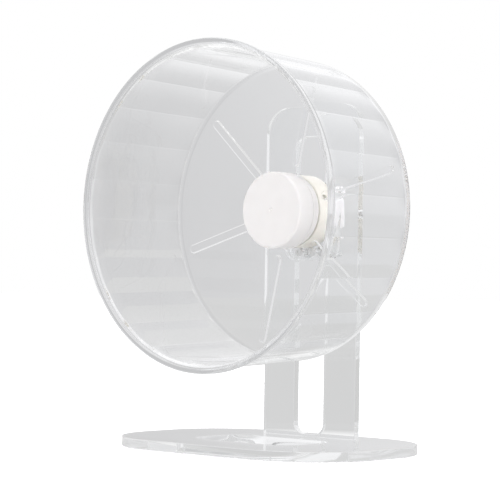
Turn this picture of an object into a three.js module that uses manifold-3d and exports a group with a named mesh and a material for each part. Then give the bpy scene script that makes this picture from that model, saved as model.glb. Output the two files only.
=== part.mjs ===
// Hamster wheel: a clear drum on two ball bearings, carried by a clear stand with a height slot.
// Millimetres, +Z up. The origin is under the middle of the base, and the drum opens towards -Y.

import * as THREE from 'three';
import { mergeVertices } from 'three/addons/utils/BufferGeometryUtils.js';
import Module from 'manifold-3d';

const wasm = await Module();
wasm.setup();

// Shared values
const overrun = 1;
const fitGap = 0.05;
const runningGap = 0.3;
const slideGap = 0.15;
const holeGap = 0.2;
const fineSegments = 48;
const roundSegments = 28;
const threadSegments = 12;
const filletSteps = 3;

// Base plate
const baseWidth = 195;
const baseDepth = 137;
const baseThickness = 6;
const baseCornerRadius = 56;
const windowWidth = 84;
const windowDepth = 51;
const windowCornerRadius = 15;
const windowSetback = 21;

// Upright plate
const uprightWidth = 78;
const uprightThickness = 5;
const uprightHeight = 219;
const uprightCornerRadius = 18;
const uprightInset = 22.7;
const slotWidth = 25;
const slotCornerRadius = 8;
const slotFootGap = 1.5;
const slotTopGap = 20;

// Drum
const lipRadius = 105;
const lipWidth = 3.6;
const lipThickness = 3.2;
const lipRound = 0.9;
const drumDepth = 87.5;
const wallFrontRadius = 102.4;
const wallRearRadius = 98.6;
const wallThickness = 2.4;
const rearOuterRound = 2.6;
const rearInnerRound = 2;
const discThickness = 3;
const drumClearance = 43.8;
const treadCount = 24;
const treadHeight = 1;
const treadSamples = 4;
const treadPhase = THREE.MathUtils.degToRad(4);
const ribCount = 6;
const ribWidth = 5.8;
const ribInnerRadius = 30;
const ribOuterRadius = 89;
const ribHeight = 1.5;
const ribSink = 0.5;
const ribPhase = THREE.MathUtils.degToRad(17);

// Hub
const hubRadius = 25;
const capDepth = 13.5;
const capWall = 1.6;
const capRound = 1.8;
const capSeam = 0.3;
const capSpigotWall = 1.2;
const capSpigotGap = 2.4;
const flangeThickness = 3.2;
const housingRadius = 15;
const spigotRadius = 14;
const housingLipRadius = 9.4;
const housingLipThickness = 1.2;
const housingMouth = 0.6;
const backRingRadius = 23.5;
const backRingThickness = 2;
const hubScrewCount = 6;
const hubScrewCircle = 19.5;
const hubScrewRadius = 1.5;
const hubScrewHeadRadius = 2.6;
const hubScrewHeadHeight = 1.7;
const hubScrewTipGap = 0.1;
const driveShare = 0.55;
const driveDepthShare = 0.55;

// Ball bearings
const bearingBore = 8;
const bearingOuterDiameter = 22;
const bearingWidth = 7;
const bearingPitchRadius = 7.5;
const ballRadius = 1.98;
const ballCount = 7;
const ballGap = 0.1;
const ballRings = 6;
const ballSides = 10;
const grooveAngle = THREE.MathUtils.degToRad(50);
const grooveSteps = 3;
const shieldThickness = 0.35;
const shieldInset = 0.2;
const shieldGap = 0.2;
const raceSpacerLength = 0.8;
const spacerRadius = 5.6;

// Axle
const axleRecess = 0.2;
const axleTail = 4.4;
const endWasherThickness = 0.8;
const endScrewHeadRadius = 3.5;
const endScrewHeadHeight = 1.5;
const endScrewRadius = 2;
const endScrewLength = 7;
const axleTapDepth = 9;
const axleWasherRadius = 7.5;
const axleWasherThickness = 1.5;
const axleNutWidth = 13;
const axleNutThickness = 4;

// Carriage
const seatRadius = 24;
const seatLength = 16.1;
const seatRound = 0.8;
const seatRunningGap = 0.6;
const setScrewRadius = 2;
const setScrewSetback = 7.4;
const setScrewAngle = THREE.MathUtils.degToRad(22);
const setScrewTipGap = 0.2;
const setScrewDepth = 2;
const clampPlateThickness = 2.85;
const clampPlateWidth = 38;
const clampPlateRise = 20;
const clampPlateDrop = 32;
const clampPlateCornerRadius = 9;
const keyHeight = 36;
const keyCornerRadius = 7.6;
const keySideGap = 0.4;
const clampSpacingX = 11.4;
const clampScrewDrop = 26.5;
const clampScrewRadius = 2;
const clampScrewHeadRadius = 3;
const clampScrewHeadHeight = 1.8;
const clampScrewTail = 14;
const clampWasherRadius = 4.4;
const clampWasherThickness = 1;
const clampNutWidth = 7;
const clampNutThickness = 3.2;
const blockWidth = 26;
const blockHeight = 28;
const blockLength = 13;
const blockCornerRadius = 3;

// Places along Y, worked out from the base's rear edge forwards
const uprightRearY = baseDepth / 2 - uprightInset;
const uprightFrontY = uprightRearY - uprightThickness;
const frontPlateRearY = uprightFrontY - slideGap;
const frontPlateFrontY = frontPlateRearY - clampPlateThickness;
const seatFrontY = frontPlateFrontY - seatLength;
const drumRearY = seatFrontY - seatRunningGap - backRingThickness;
const rearPlateFrontY = uprightRearY + slideGap;
const rearPlateRearY = rearPlateFrontY + clampPlateThickness;
const blockRearY = rearPlateRearY + blockLength;
const discFrontY = drumRearY - discThickness;
const flangeFrontY = discFrontY - flangeThickness;
const capRearY = flangeFrontY - capSeam;
const capFrontY = capRearY - capDepth;
const housingRearY = drumRearY + backRingThickness;
const rearBearingY = housingRearY - housingLipThickness - bearingWidth / 2;
const frontBearingY = rearBearingY - bearingWidth - raceSpacerLength;
const bearingFrontY = frontBearingY - bearingWidth / 2;
const bearingRearY = rearBearingY + bearingWidth / 2;
const housingFrontY = bearingFrontY - housingMouth;
const endWasherFrontY = bearingFrontY - endWasherThickness;

// Places along Z
const axisZ = baseThickness + drumClearance + lipRadius;
const uprightTopZ = baseThickness + uprightHeight;
const slotBottomZ = baseThickness + slotFootGap;
const slotTopZ = uprightTopZ - slotTopGap;

// Radii that follow from the bearings
const axleRadius = bearingBore / 2 - fitGap;
const bearingOuterRadius = bearingOuterDiameter / 2;
const housingBoreRadius = bearingOuterRadius + fitGap;
const grooveRadius = ballRadius + ballGap;

// A closed triangle mesh with shared corners, as a solid that can be joined and cut
function toSolid(geometry) {
  const bare = geometry.index ? geometry.clone() : mergeVertices(geometry.clone());
  bare.deleteAttribute('normal');
  bare.deleteAttribute('uv');
  const merged = mergeVertices(bare);
  const vertProperties = new Float32Array(merged.attributes.position.array);
  const triVerts = new Uint32Array(merged.index.array);
  return new wasm.Manifold(new wasm.Mesh({ numProp: 3, vertProperties, triVerts }));
}

// The triangles of a solid, as a geometry
function toGeometry(solid) {
  const mesh = solid.getMesh();
  const geometry = new THREE.BufferGeometry();
  geometry.setAttribute('position', new THREE.BufferAttribute(mesh.vertProperties, mesh.numProp));
  geometry.setIndex(new THREE.BufferAttribute(mesh.triVerts, 1));
  geometry.computeVertexNormals();
  return geometry;
}

function joinAll(solids) {
  return solids.reduce((sum, solid) => sum.add(solid));
}

// A rounded rectangle, centred on a point
function roundedRectangle(width, height, radius, centreX = 0, centreY = 0) {
  const right = width / 2;
  const top = height / 2;
  const shape = new THREE.Shape();
  shape.absarc(centreX + right - radius, centreY + top - radius, radius, 0, Math.PI / 2);
  shape.absarc(centreX - right + radius, centreY + top - radius, radius, Math.PI / 2, Math.PI);
  shape.absarc(centreX - right + radius, centreY - top + radius, radius, Math.PI, 1.5 * Math.PI);
  shape.absarc(centreX + right - radius, centreY - top + radius, radius, 1.5 * Math.PI, 2 * Math.PI);
  shape.closePath();
  return shape;
}

function regularPolygon(sides, radius, centreX = 0, centreY = 0) {
  const shape = new THREE.Shape();
  for (let i = 0; i < sides; i += 1) {
    const angle = (2 * Math.PI * i) / sides;
    const x = centreX + radius * Math.cos(angle);
    const y = centreY + radius * Math.sin(angle);
    if (i === 0) shape.moveTo(x, y);
    else shape.lineTo(x, y);
  }
  shape.closePath();
  return shape;
}

// A flat plate that stands in the XZ plane, from one Y to another
function standingPlate(shape, frontY, rearY, curveSegments = 4) {
  const plate = new THREE.ExtrudeGeometry(shape, { depth: rearY - frontY, bevelEnabled: false, curveSegments });
  plate.rotateX(Math.PI / 2);
  plate.translate(0, rearY, 0);
  return plate;
}

// A flat plate that lies in the XY plane
function lyingPlate(shape, bottomZ, thickness, curveSegments = 8) {
  const plate = new THREE.ExtrudeGeometry(shape, { depth: thickness, bevelEnabled: false, curveSegments });
  plate.translate(0, 0, bottomZ);
  return plate;
}

// A solid turned about the wheel's axis. Its points are [radius, y] pairs round a closed outline.
function turned(points, segments = roundSegments) {
  const loop = points.map(([radius, y]) => new THREE.Vector2(radius, y));
  if (THREE.ShapeUtils.isClockWise(loop)) loop.reverse();
  loop.push(loop[0].clone());
  return new THREE.LatheGeometry(loop, segments).translate(0, 0, axisZ);
}

// A plain ring or disc about the wheel's axis
function ring(innerRadius, outerRadius, frontY, rearY, segments = roundSegments) {
  return turned([[innerRadius, frontY], [outerRadius, frontY], [outerRadius, rearY], [innerRadius, rearY]], segments);
}

// A round bar along Y, from one Y to another
function bar(radius, frontY, rearY, x = 0, z = axisZ, sides = threadSegments) {
  return standingPlate(regularPolygon(sides, radius, x, z), frontY, rearY);
}

// Points of a quarter round between two directions, given in turns of pi
function arcPoints(centreRadius, centreY, radius, fromAngle, toAngle, steps = filletSteps) {
  const points = [];
  for (let i = 0; i <= steps; i += 1) {
    const angle = fromAngle + ((toAngle - fromAngle) * i) / steps;
    points.push([centreRadius + radius * Math.cos(angle), centreY + radius * Math.sin(angle)]);
  }
  return points;
}

function circlePlaces(count, radius, phase = 0) {
  const places = [];
  for (let i = 0; i < count; i += 1) {
    const angle = phase + (2 * Math.PI * i) / count;
    places.push([radius * Math.cos(angle), axisZ + radius * Math.sin(angle)]);
  }
  return places;
}

// The two clamp screws sit side by side below the axle
function clampPlaces() {
  return [-1, 1].map((side) => [(side * clampSpacingX) / 2, axisZ - clampScrewDrop]);
}

// A screw along Y with its head in front, its drive cut in the head and its tip behind
function screw(size, headFrontY, tipY, x, z) {
  const headRearY = headFrontY + size.headHeight;
  const head = toSolid(bar(size.headRadius, headFrontY, headRearY, x, z));
  const shank = toSolid(bar(size.radius, headRearY - size.headHeight * driveDepthShare / 2, tipY, x, z));
  const driveRadius = size.headRadius * driveShare;
  const driveFloor = headFrontY + size.headHeight * driveDepthShare / 2;
  const drive = toSolid(bar(driveRadius, headFrontY - overrun, driveFloor, x, z, 6));
  return toGeometry(head.add(shank).subtract(drive));
}

// A hexagon nut along Y
function nut(width, holeRadius, frontY, rearY, x = 0, z = axisZ, holeSides = threadSegments) {
  const shape = regularPolygon(6, width / (2 * Math.cos(Math.PI / 6)), x, z);
  shape.holes.push(regularPolygon(holeSides, holeRadius, x, z));
  return standingPlate(shape, frontY, rearY);
}

// Base: a rounded sheet with a rounded window in front of the upright
function basePlate() {
  const shape = roundedRectangle(baseWidth, baseDepth, baseCornerRadius);
  const windowY = uprightFrontY - windowSetback - windowDepth / 2;
  shape.holes.push(roundedRectangle(windowWidth, windowDepth, windowCornerRadius, 0, windowY));
  return lyingPlate(shape, 0, baseThickness);
}

// Upright: square at the foot, rounded at the top, with one long slot
function uprightPlate() {
  const right = uprightWidth / 2;
  const inner = right - uprightCornerRadius;
  const shoulder = uprightTopZ - uprightCornerRadius;
  const shape = new THREE.Shape();
  shape.moveTo(-right, baseThickness);
  shape.lineTo(right, baseThickness);
  shape.absarc(inner, shoulder, uprightCornerRadius, 0, Math.PI / 2);
  shape.absarc(-inner, shoulder, uprightCornerRadius, Math.PI / 2, Math.PI);
  shape.closePath();
  const slotHeight = slotTopZ - slotBottomZ;
  const slotMiddle = (slotTopZ + slotBottomZ) / 2;
  shape.holes.push(roundedRectangle(slotWidth, slotHeight, slotCornerRadius, 0, slotMiddle));
  return standingPlate(shape, uprightFrontY, uprightRearY);
}

// Outline of the drum's section: [radius, y, tread share] triples, from the hole in the disc round
// the inside, the lip and the outside, and back along the rear face
function drumOutline() {
  const frontY = drumRearY - drumDepth;
  const lipRearY = frontY + lipThickness;
  const wallSlope = (wallFrontRadius - wallRearRadius) / (drumDepth - lipThickness);
  const cornerY = discFrontY - rearInnerRound;
  const innerRear = wallRearRadius - wallThickness + wallSlope * (drumRearY - cornerY);
  const innerFront = wallFrontRadius - wallThickness;
  const outerTurnY = drumRearY - rearOuterRound;
  const outerRear = wallRearRadius + wallSlope * rearOuterRound;
  const smooth = (points) => points.map(([radius, y]) => [radius, y, 0]);
  return [
    [spigotRadius + holeGap, discFrontY, 0],
    ...smooth(arcPoints(innerRear - rearInnerRound, cornerY, rearInnerRound, Math.PI / 2, 0, 2)),
    [innerRear + wallSlope * rearInnerRound, cornerY - rearInnerRound, 1],
    [innerFront, lipRearY, 1],
    [lipRadius - lipWidth, frontY + lipRound, 1],
    [lipRadius - lipWidth + lipRound, frontY, 0],
    ...smooth(arcPoints(lipRadius - lipRound, frontY + lipRound, lipRound, -Math.PI / 2, 0, 2)),
    [lipRadius, lipRearY, 0],
    [wallFrontRadius, lipRearY, 0],
    ...smooth(arcPoints(outerRear - rearOuterRound, outerTurnY, rearOuterRound, 0, Math.PI / 2, 3)),
    [spigotRadius + holeGap, drumRearY, 0],
  ];
}

// Drum shell: the outline carried round the axis, with a low pointed tread at each pitch
function drumShell() {
  const outline = drumOutline();
  const around = treadCount * treadSamples;
  const positions = [];
  for (let i = 0; i < around; i += 1) {
    const angle = treadPhase + (2 * Math.PI * i) / around;
    const tread = treadHeight * (1 - Math.abs(Math.sin((Math.PI * i) / treadSamples)));
    for (const [radius, y, treadShare] of outline) {
      const reach = radius - tread * treadShare;
      positions.push(reach * Math.cos(angle), y, axisZ + reach * Math.sin(angle));
    }
  }
  const indices = [];
  const count = outline.length;
  for (let i = 0; i < around; i += 1) {
    const here = i * count;
    const next = ((i + 1) % around) * count;
    for (let j = 0; j < count; j += 1) {
      const after = (j + 1) % count;
      indices.push(here + j, next + after, next + j);
      indices.push(here + j, here + after, next + after);
    }
  }
  const geometry = new THREE.BufferGeometry();
  geometry.setAttribute('position', new THREE.Float32BufferAttribute(positions, 3));
  geometry.setIndex(indices);
  return geometry;
}

// One rib on the front of the disc, a bar with round ends that points away from the hub
function rib(angle) {
  const length = ribOuterRadius - ribInnerRadius;
  const middle = (ribOuterRadius + ribInnerRadius) / 2;
  const shape = roundedRectangle(length, ribWidth, ribWidth / 2, middle, 0);
  const plate = standingPlate(shape, discFrontY - ribHeight, discFrontY + ribSink);
  plate.rotateY(-angle);
  plate.translate(0, 0, axisZ);
  return plate;
}

function wheelDrum() {
  const ribs = [];
  for (let i = 0; i < ribCount; i += 1) {
    ribs.push(toSolid(rib(ribPhase + (2 * Math.PI * i) / ribCount)));
  }
  const holes = circlePlaces(hubScrewCount, hubScrewCircle, ribPhase).map(([x, z]) =>
    toSolid(bar(hubScrewRadius + holeGap, discFrontY - overrun, drumRearY + overrun, x, z)));
  return toGeometry(joinAll([toSolid(drumShell()), ...ribs]).subtract(joinAll(holes)));
}

// Housing: a tube for both bearings, with a flange in front of the disc and a lip behind
function hubHousing() {
  const body = toSolid(turned([
    [housingBoreRadius, housingFrontY],
    [housingRadius, housingFrontY],
    [housingRadius, flangeFrontY],
    [hubRadius, flangeFrontY],
    [hubRadius, discFrontY],
    [spigotRadius, discFrontY],
    [spigotRadius, housingRearY],
    [housingLipRadius, housingRearY],
    [housingLipRadius, bearingRearY],
    [housingBoreRadius, bearingRearY],
  ], fineSegments));
  const holes = circlePlaces(hubScrewCount, hubScrewCircle, ribPhase).map(([x, z]) =>
    toSolid(bar(hubScrewRadius + holeGap, flangeFrontY - overrun, discFrontY + overrun, x, z)));
  return toGeometry(body.subtract(joinAll(holes)));
}

function hubBackRing() {
  const body = toSolid(ring(spigotRadius + holeGap, backRingRadius, drumRearY, housingRearY, fineSegments));
  const holes = circlePlaces(hubScrewCount, hubScrewCircle, ribPhase).map(([x, z]) =>
    toSolid(bar(hubScrewRadius + holeGap, drumRearY - overrun, housingRearY + overrun, x, z)));
  return toGeometry(body.subtract(joinAll(holes)));
}

function hubScrew([x, z]) {
  const size = { radius: hubScrewRadius, headRadius: hubScrewHeadRadius, headHeight: hubScrewHeadHeight };
  return screw(size, flangeFrontY - hubScrewHeadHeight, housingRearY - hubScrewTipGap, x, z);
}

// Cap: a round cup with an inner spigot that grips the housing
function hubCap() {
  const innerFaceY = capFrontY + capWall;
  const spigotInner = housingRadius + holeGap;
  const spigotOuter = spigotInner + capSpigotWall;
  const skirtInner = hubRadius - capWall;
  return turned([
    [0, capFrontY],
    ...arcPoints(hubRadius - capRound, capFrontY + capRound, capRound, -Math.PI / 2, 0),
    [hubRadius, capRearY],
    [skirtInner, capRearY],
    [skirtInner, innerFaceY],
    [spigotOuter, innerFaceY],
    [spigotOuter, capRearY - capSpigotGap],
    [spigotInner, capRearY - capSpigotGap],
    [spigotInner, innerFaceY],
    [0, innerFaceY],
  ], fineSegments);
}

// Ball races: each has a groove that follows the balls
function raceHeight() {
  return grooveRadius * Math.cos(grooveAngle);
}

function innerRace(middleY) {
  const half = bearingWidth / 2;
  const shoulder = bearingPitchRadius - raceHeight();
  const groove = arcPoints(bearingPitchRadius, middleY, grooveRadius,
    Math.PI - grooveAngle, Math.PI + grooveAngle, grooveSteps);
  return turned([
    [bearingBore / 2, middleY - half],
    [bearingBore / 2, middleY + half],
    [shoulder, middleY + half],
    ...groove,
    [shoulder, middleY - half],
  ]);
}

function outerRace(middleY) {
  const half = bearingWidth / 2;
  const shoulder = bearingPitchRadius + raceHeight();
  const groove = arcPoints(bearingPitchRadius, middleY, grooveRadius,
    -grooveAngle, grooveAngle, grooveSteps);
  return turned([
    [bearingOuterRadius, middleY + half],
    [bearingOuterRadius, middleY - half],
    [shoulder, middleY - half],
    ...groove,
    [shoulder, middleY + half],
  ]);
}

function ball(middleY, [x, z]) {
  return new THREE.SphereGeometry(ballRadius, ballSides, ballRings).translate(x, middleY, z);
}

function shield(middleY, side) {
  const inner = bearingPitchRadius - raceHeight() + shieldGap;
  const outer = bearingPitchRadius + raceHeight() - fitGap;
  const outside = middleY + side * (bearingWidth / 2 - shieldInset);
  const inside = outside - side * shieldThickness;
  return ring(inner, outer, Math.min(outside, inside), Math.max(outside, inside));
}

// Axle: a steel bar through the whole stack, tapped at its front end
function axle() {
  const frontY = bearingFrontY + axleRecess;
  const rearY = blockRearY + axleWasherThickness + axleTail;
  const hole = endScrewRadius + holeGap / 2;
  return turned([
    [hole, frontY],
    [axleRadius, frontY],
    [axleRadius, rearY],
    [0, rearY],
    [0, frontY + axleTapDepth],
    [hole, frontY + axleTapDepth],
  ]);
}

function axleEndScrew() {
  const size = { radius: endScrewRadius, headRadius: endScrewHeadRadius, headHeight: endScrewHeadHeight };
  const headFrontY = endWasherFrontY - endScrewHeadHeight;
  return screw(size, headFrontY, endWasherFrontY + endScrewLength, 0, axisZ);
}

// Seat: a thick round block between the drum and the upright, with a side hole for its set screw
function setScrewPlace(geometry) {
  geometry.rotateY(-setScrewAngle);
  geometry.translate(0, seatFrontY + setScrewSetback, axisZ);
  return geometry;
}

function radialBar(radius, fromRadius, toRadius, sides = threadSegments) {
  const length = toRadius - fromRadius;
  const geometry = new THREE.CylinderGeometry(radius, radius, length, sides);
  geometry.rotateZ(-Math.PI / 2);
  geometry.translate(fromRadius + length / 2, 0, 0);
  return geometry;
}

function axleSeat() {
  const body = toSolid(turned([
    [bearingBore / 2, seatFrontY],
    ...arcPoints(seatRadius - seatRound, seatFrontY + seatRound, seatRound, -Math.PI / 2, 0, 2),
    [seatRadius, frontPlateFrontY],
    [bearingBore / 2, frontPlateFrontY],
  ], fineSegments));
  const hole = setScrewPlace(radialBar(setScrewRadius + holeGap, axleRadius - fitGap, seatRadius + overrun));
  return toGeometry(body.subtract(toSolid(hole)));
}

function setScrew() {
  const outer = seatRadius - setScrewDepth;
  const body = setScrewPlace(radialBar(setScrewRadius, axleRadius + setScrewTipGap, outer));
  const driveInner = outer - setScrewRadius;
  const drive = setScrewPlace(radialBar(setScrewRadius * driveShare, driveInner, outer + overrun, 6));
  return toGeometry(toSolid(body).subtract(toSolid(drive)));
}

// Clamp plates: one each side of the upright. The front one has a key that runs in the slot.
function clampShape() {
  const height = clampPlateRise + clampPlateDrop;
  const middleZ = axisZ + (clampPlateRise - clampPlateDrop) / 2;
  const shape = roundedRectangle(clampPlateWidth, height, clampPlateCornerRadius, 0, middleZ);
  shape.holes.push(regularPolygon(roundSegments, axleRadius + holeGap, 0, axisZ));
  for (const [x, z] of clampPlaces()) {
    shape.holes.push(regularPolygon(threadSegments, clampScrewRadius + holeGap, x, z));
  }
  return shape;
}

function frontClampPlate() {
  const keyWidth = slotWidth - 2 * keySideGap;
  const key = roundedRectangle(keyWidth, keyHeight, keyCornerRadius, 0, axisZ);
  key.holes.push(regularPolygon(roundSegments, axleRadius + holeGap, 0, axisZ));
  const plate = toSolid(standingPlate(clampShape(), frontPlateFrontY, frontPlateRearY));
  const keyPlate = standingPlate(key, frontPlateRearY - clampPlateThickness / 2, uprightRearY - runningGap);
  return toGeometry(plate.add(toSolid(keyPlate)));
}

function rearClampPlate() {
  return standingPlate(clampShape(), rearPlateFrontY, rearPlateRearY);
}

function clampScrew([x, z]) {
  const size = {
    radius: clampScrewRadius,
    headRadius: clampScrewHeadRadius,
    headHeight: clampScrewHeadHeight,
  };
  const headFrontY = frontPlateFrontY - clampScrewHeadHeight;
  const tipY = rearPlateRearY + clampWasherThickness + clampNutThickness + clampScrewTail;
  return screw(size, headFrontY, tipY, x, z);
}

function clampWasher([x, z]) {
  const shape = regularPolygon(threadSegments, clampWasherRadius, x, z);
  shape.holes.push(regularPolygon(threadSegments, clampScrewRadius + holeGap, x, z));
  return standingPlate(shape, rearPlateRearY, rearPlateRearY + clampWasherThickness);
}

function clampNut([x, z]) {
  const frontY = rearPlateRearY + clampWasherThickness;
  return nut(clampNutWidth, clampScrewRadius + fitGap, frontY, frontY + clampNutThickness, x, z);
}

function rearBlock() {
  const shape = roundedRectangle(blockWidth, blockHeight, blockCornerRadius, 0, axisZ);
  shape.holes.push(regularPolygon(roundSegments, axleRadius + holeGap, 0, axisZ));
  return standingPlate(shape, rearPlateRearY, blockRearY);
}

// Materials
function material(color, roughness, metalness = 0, opacity = 1) {
  return new THREE.MeshStandardMaterial({ color, roughness, metalness, opacity, transparent: opacity < 1 });
}

const clear = material(0xf2f5f6, 0.05, 0, 0.3);
const white = material(0xf0eeec, 0.4);
const cream = material(0xf5efdf, 0.45);
const steel = material(0xb9bbbd, 0.3, 1);

const assembly = new THREE.Group();

function place(parent, name, geometry, look) {
  const mesh = new THREE.Mesh(geometry, look);
  mesh.name = name;
  parent.add(mesh);
}

// Stand
const stand = new THREE.Group();
place(stand, 'base_plate', basePlate(), clear);
place(stand, 'upright_plate', uprightPlate(), clear);

// Carriage, which slides in the slot
const carriage = new THREE.Group();
place(carriage, 'front_clamp_plate', frontClampPlate(), clear);
place(carriage, 'rear_clamp_plate', rearClampPlate(), clear);
place(carriage, 'axle_seat', axleSeat(), cream);
place(carriage, 'set_screw', setScrew(), steel);
place(carriage, 'rear_block', rearBlock(), white);
clampPlaces().forEach((spot, i) => {
  place(carriage, `clamp_screw_${i + 1}`, clampScrew(spot), steel);
  place(carriage, `clamp_washer_${i + 1}`, clampWasher(spot), steel);
  place(carriage, `clamp_nut_${i + 1}`, clampNut(spot), steel);
});

// Axle and what it holds
const endWasherHole = endScrewRadius + holeGap;
const axleNutFrontY = blockRearY + axleWasherThickness;
place(carriage, 'axle', axle(), steel);
place(carriage, 'axle_end_screw', axleEndScrew(), steel);
place(carriage, 'end_washer', ring(endWasherHole, spacerRadius, endWasherFrontY, bearingFrontY), steel);
place(carriage, 'race_spacer', ring(bearingBore / 2, spacerRadius,
  frontBearingY + bearingWidth / 2, rearBearingY - bearingWidth / 2), steel);
place(carriage, 'spacer_sleeve', ring(bearingBore / 2, spacerRadius, bearingRearY, seatFrontY), steel);
place(carriage, 'axle_washer', ring(axleRadius + holeGap, axleWasherRadius, blockRearY, axleNutFrontY), steel);
place(carriage, 'axle_nut', nut(axleNutWidth, axleRadius + fitGap,
  axleNutFrontY, axleNutFrontY + axleNutThickness, 0, axisZ, roundSegments), steel);

// Wheel, which turns on the bearings
const wheel = new THREE.Group();
place(wheel, 'wheel_drum', wheelDrum(), clear);
place(wheel, 'hub_housing', hubHousing(), white);
place(wheel, 'hub_back_ring', hubBackRing(), white);
place(wheel, 'hub_cap', hubCap(), white);
circlePlaces(hubScrewCount, hubScrewCircle, ribPhase).forEach((spot, i) => {
  place(wheel, `hub_screw_${i + 1}`, hubScrew(spot), steel);
});

// The two bearings: inner races stay with the axle, and outer races turn with the wheel
for (const [end, middleY] of [['front', frontBearingY], ['rear', rearBearingY]]) {
  place(carriage, `${end}_inner_race`, innerRace(middleY), steel);
  place(wheel, `${end}_outer_race`, outerRace(middleY), steel);
  place(wheel, `${end}_shield_outside`, shield(middleY, -1), steel);
  place(wheel, `${end}_shield_inside`, shield(middleY, 1), steel);
  circlePlaces(ballCount, bearingPitchRadius).forEach((spot, i) => {
    place(wheel, `${end}_ball_${i + 1}`, ball(middleY, spot), steel);
  });
}

assembly.add(stand, carriage, wheel);

export default assembly;
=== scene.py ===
from math import cos, pi, radians, sin

import bpy
import bmesh
import numpy as np
from mathutils import Matrix, Vector
from mathutils.geometry import delaunay_2d_cdt


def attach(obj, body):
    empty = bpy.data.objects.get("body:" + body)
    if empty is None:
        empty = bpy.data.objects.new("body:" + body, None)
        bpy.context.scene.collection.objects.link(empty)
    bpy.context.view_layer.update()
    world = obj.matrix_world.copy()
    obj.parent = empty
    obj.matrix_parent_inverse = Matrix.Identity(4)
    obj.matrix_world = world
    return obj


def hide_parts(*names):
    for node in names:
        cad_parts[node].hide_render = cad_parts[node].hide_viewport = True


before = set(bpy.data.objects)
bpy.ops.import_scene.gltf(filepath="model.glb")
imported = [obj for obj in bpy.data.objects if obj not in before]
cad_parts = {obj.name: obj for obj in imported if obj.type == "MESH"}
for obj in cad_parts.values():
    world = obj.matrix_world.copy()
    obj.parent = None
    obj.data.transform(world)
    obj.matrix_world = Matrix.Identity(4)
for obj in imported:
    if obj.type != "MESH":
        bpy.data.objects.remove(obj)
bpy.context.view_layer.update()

MM = 0.001
TURN = 2 * pi

# Small distances that many pieces share
GLUE_GAP = 0.03 * MM
BORE_CLEARANCE = 0.2 * MM
PLATE_CLEARANCE = 0.15 * MM
SMALLEST_ROUND = 0.02 * MM
FACE_MARGIN = 0.25 * MM
JOIN_DISTANCE = 0.02 * MM
MERGE_DISTANCE = 0.001 * MM
FINE_MERGE_DISTANCE = 0.0001 * MM
FLAT_TOLERANCE = 1e-9

# The drum, whose wall widens a little from the disc to the lip
AXIS_Z = 154.8 * MM
AXIS = (0.0, 0.0, AXIS_Z)
DRUM_FRONT_Y = -68.4 * MM
DRUM_REAR_Y = 19.1 * MM
DISC_THICKNESS = 3 * MM
DISC_FRONT_Y = DRUM_REAR_Y - DISC_THICKNESS
DISC_MARGIN = 0.5 * MM
WALL_FRONT_RADIUS = 102.4 * MM
WALL_REAR_RADIUS = 98.6 * MM
WALL_THICKNESS = 2.4 * MM
REAR_OUTER_ROUND = 2.6 * MM
REAR_INNER_ROUND = 2.0 * MM
REAR_CORNER_THICK_SHADE = 0.9
HUB_HOLE_RADIUS = 14.2 * MM
HUB_HOLE_SIDES = 96

# The drum's lip
LIP_RADIUS = 105 * MM
LIP_WIDTH = 3.6 * MM
LIP_THICKNESS = 3.2 * MM
LIP_REAR_Y = DRUM_FRONT_Y + LIP_THICKNESS
LIP_ROUND = 0.9 * MM
LIP_REAR_ROUND = 0.35 * MM
LIP_FILLET = 0.4 * MM
LIP_FILLET_THICK_SHADE = 0.6
# How the wall's inside turns into the lip: distance outward and back, share of treads and of the painted
# thick shade
LIP_SLOPE = [(0.08 * MM, 0.3 * MM, 1.0, 0.3), (0.5 * MM, -0.6 * MM, 0.4, 1.0)]

# The wall's slope, its rings of points, and how far from the lip and the rear corner they stop
WALL_SLOPE = (WALL_FRONT_RADIUS - WALL_REAR_RADIUS) / (DRUM_REAR_Y - LIP_REAR_Y)
WALL_RINGS = 8
INNER_WALL_STOP = 0.9 * MM
OUTER_WALL_STOP = 1.0 * MM
REAR_WALL_STOP = 0.4 * MM

# The treads: low crests along the inside of the wall
TREAD_COUNT = 24
TREAD_HEIGHT = 0.4 * MM
TREAD_PHASE = radians(4)
TREAD_SOFTNESS = 0.14
TREAD_CREST = 0.05 * MM
TREAD_CREST_WIDTH = 0.045
# Where points lie from a crest to the middle of a tread, as shares of a tread, closer beside the crest
TREAD_HALF = [0, 0.006, 0.013, 0.021, 0.032, 0.05, 0.08, 0.13, 0.2, 0.28, 0.36, 0.44]
# How the treads rise beside the disc: share of their height, and distance from the corner
TREAD_START = [(0.3, 0.6 * MM), (0.75, 1.3 * MM), (1.0, 2.0 * MM)]

# The ribs on the disc
RIB_COUNT = 6
RIB_WIDTH = 5.8 * MM
RIB_END_SHARE = 0.49
RIB_INNER_RADIUS = 30 * MM
RIB_OUTER_RADIUS = 89 * MM
RIB_HEIGHT = 1.5 * MM
RIB_PHASE = radians(17)
RIB_SOFT = 0.7 * MM
RIB_FOOT = 0.25 * MM
RIB_FOOT_ROUND = 0.2 * MM
RIB_DRAFT = 0.06 * MM
RIB_TOP_INSET = 0.9 * MM

# The bearings
RACE_RADIUS = 11 * MM
RACE_WIDTH = 7 * MM
RACE_ROUND = 0.3 * MM
RACE_SIDES = 128
BALL_CIRCLE_RADIUS = 7.5 * MM
GROOVE_RADIUS = 2.08 * MM
GROOVE_HALF_ANGLE = 50
FRONT_BEARING_Y = 8.6 * MM
REAR_BEARING_Y = 16.4 * MM

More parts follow.
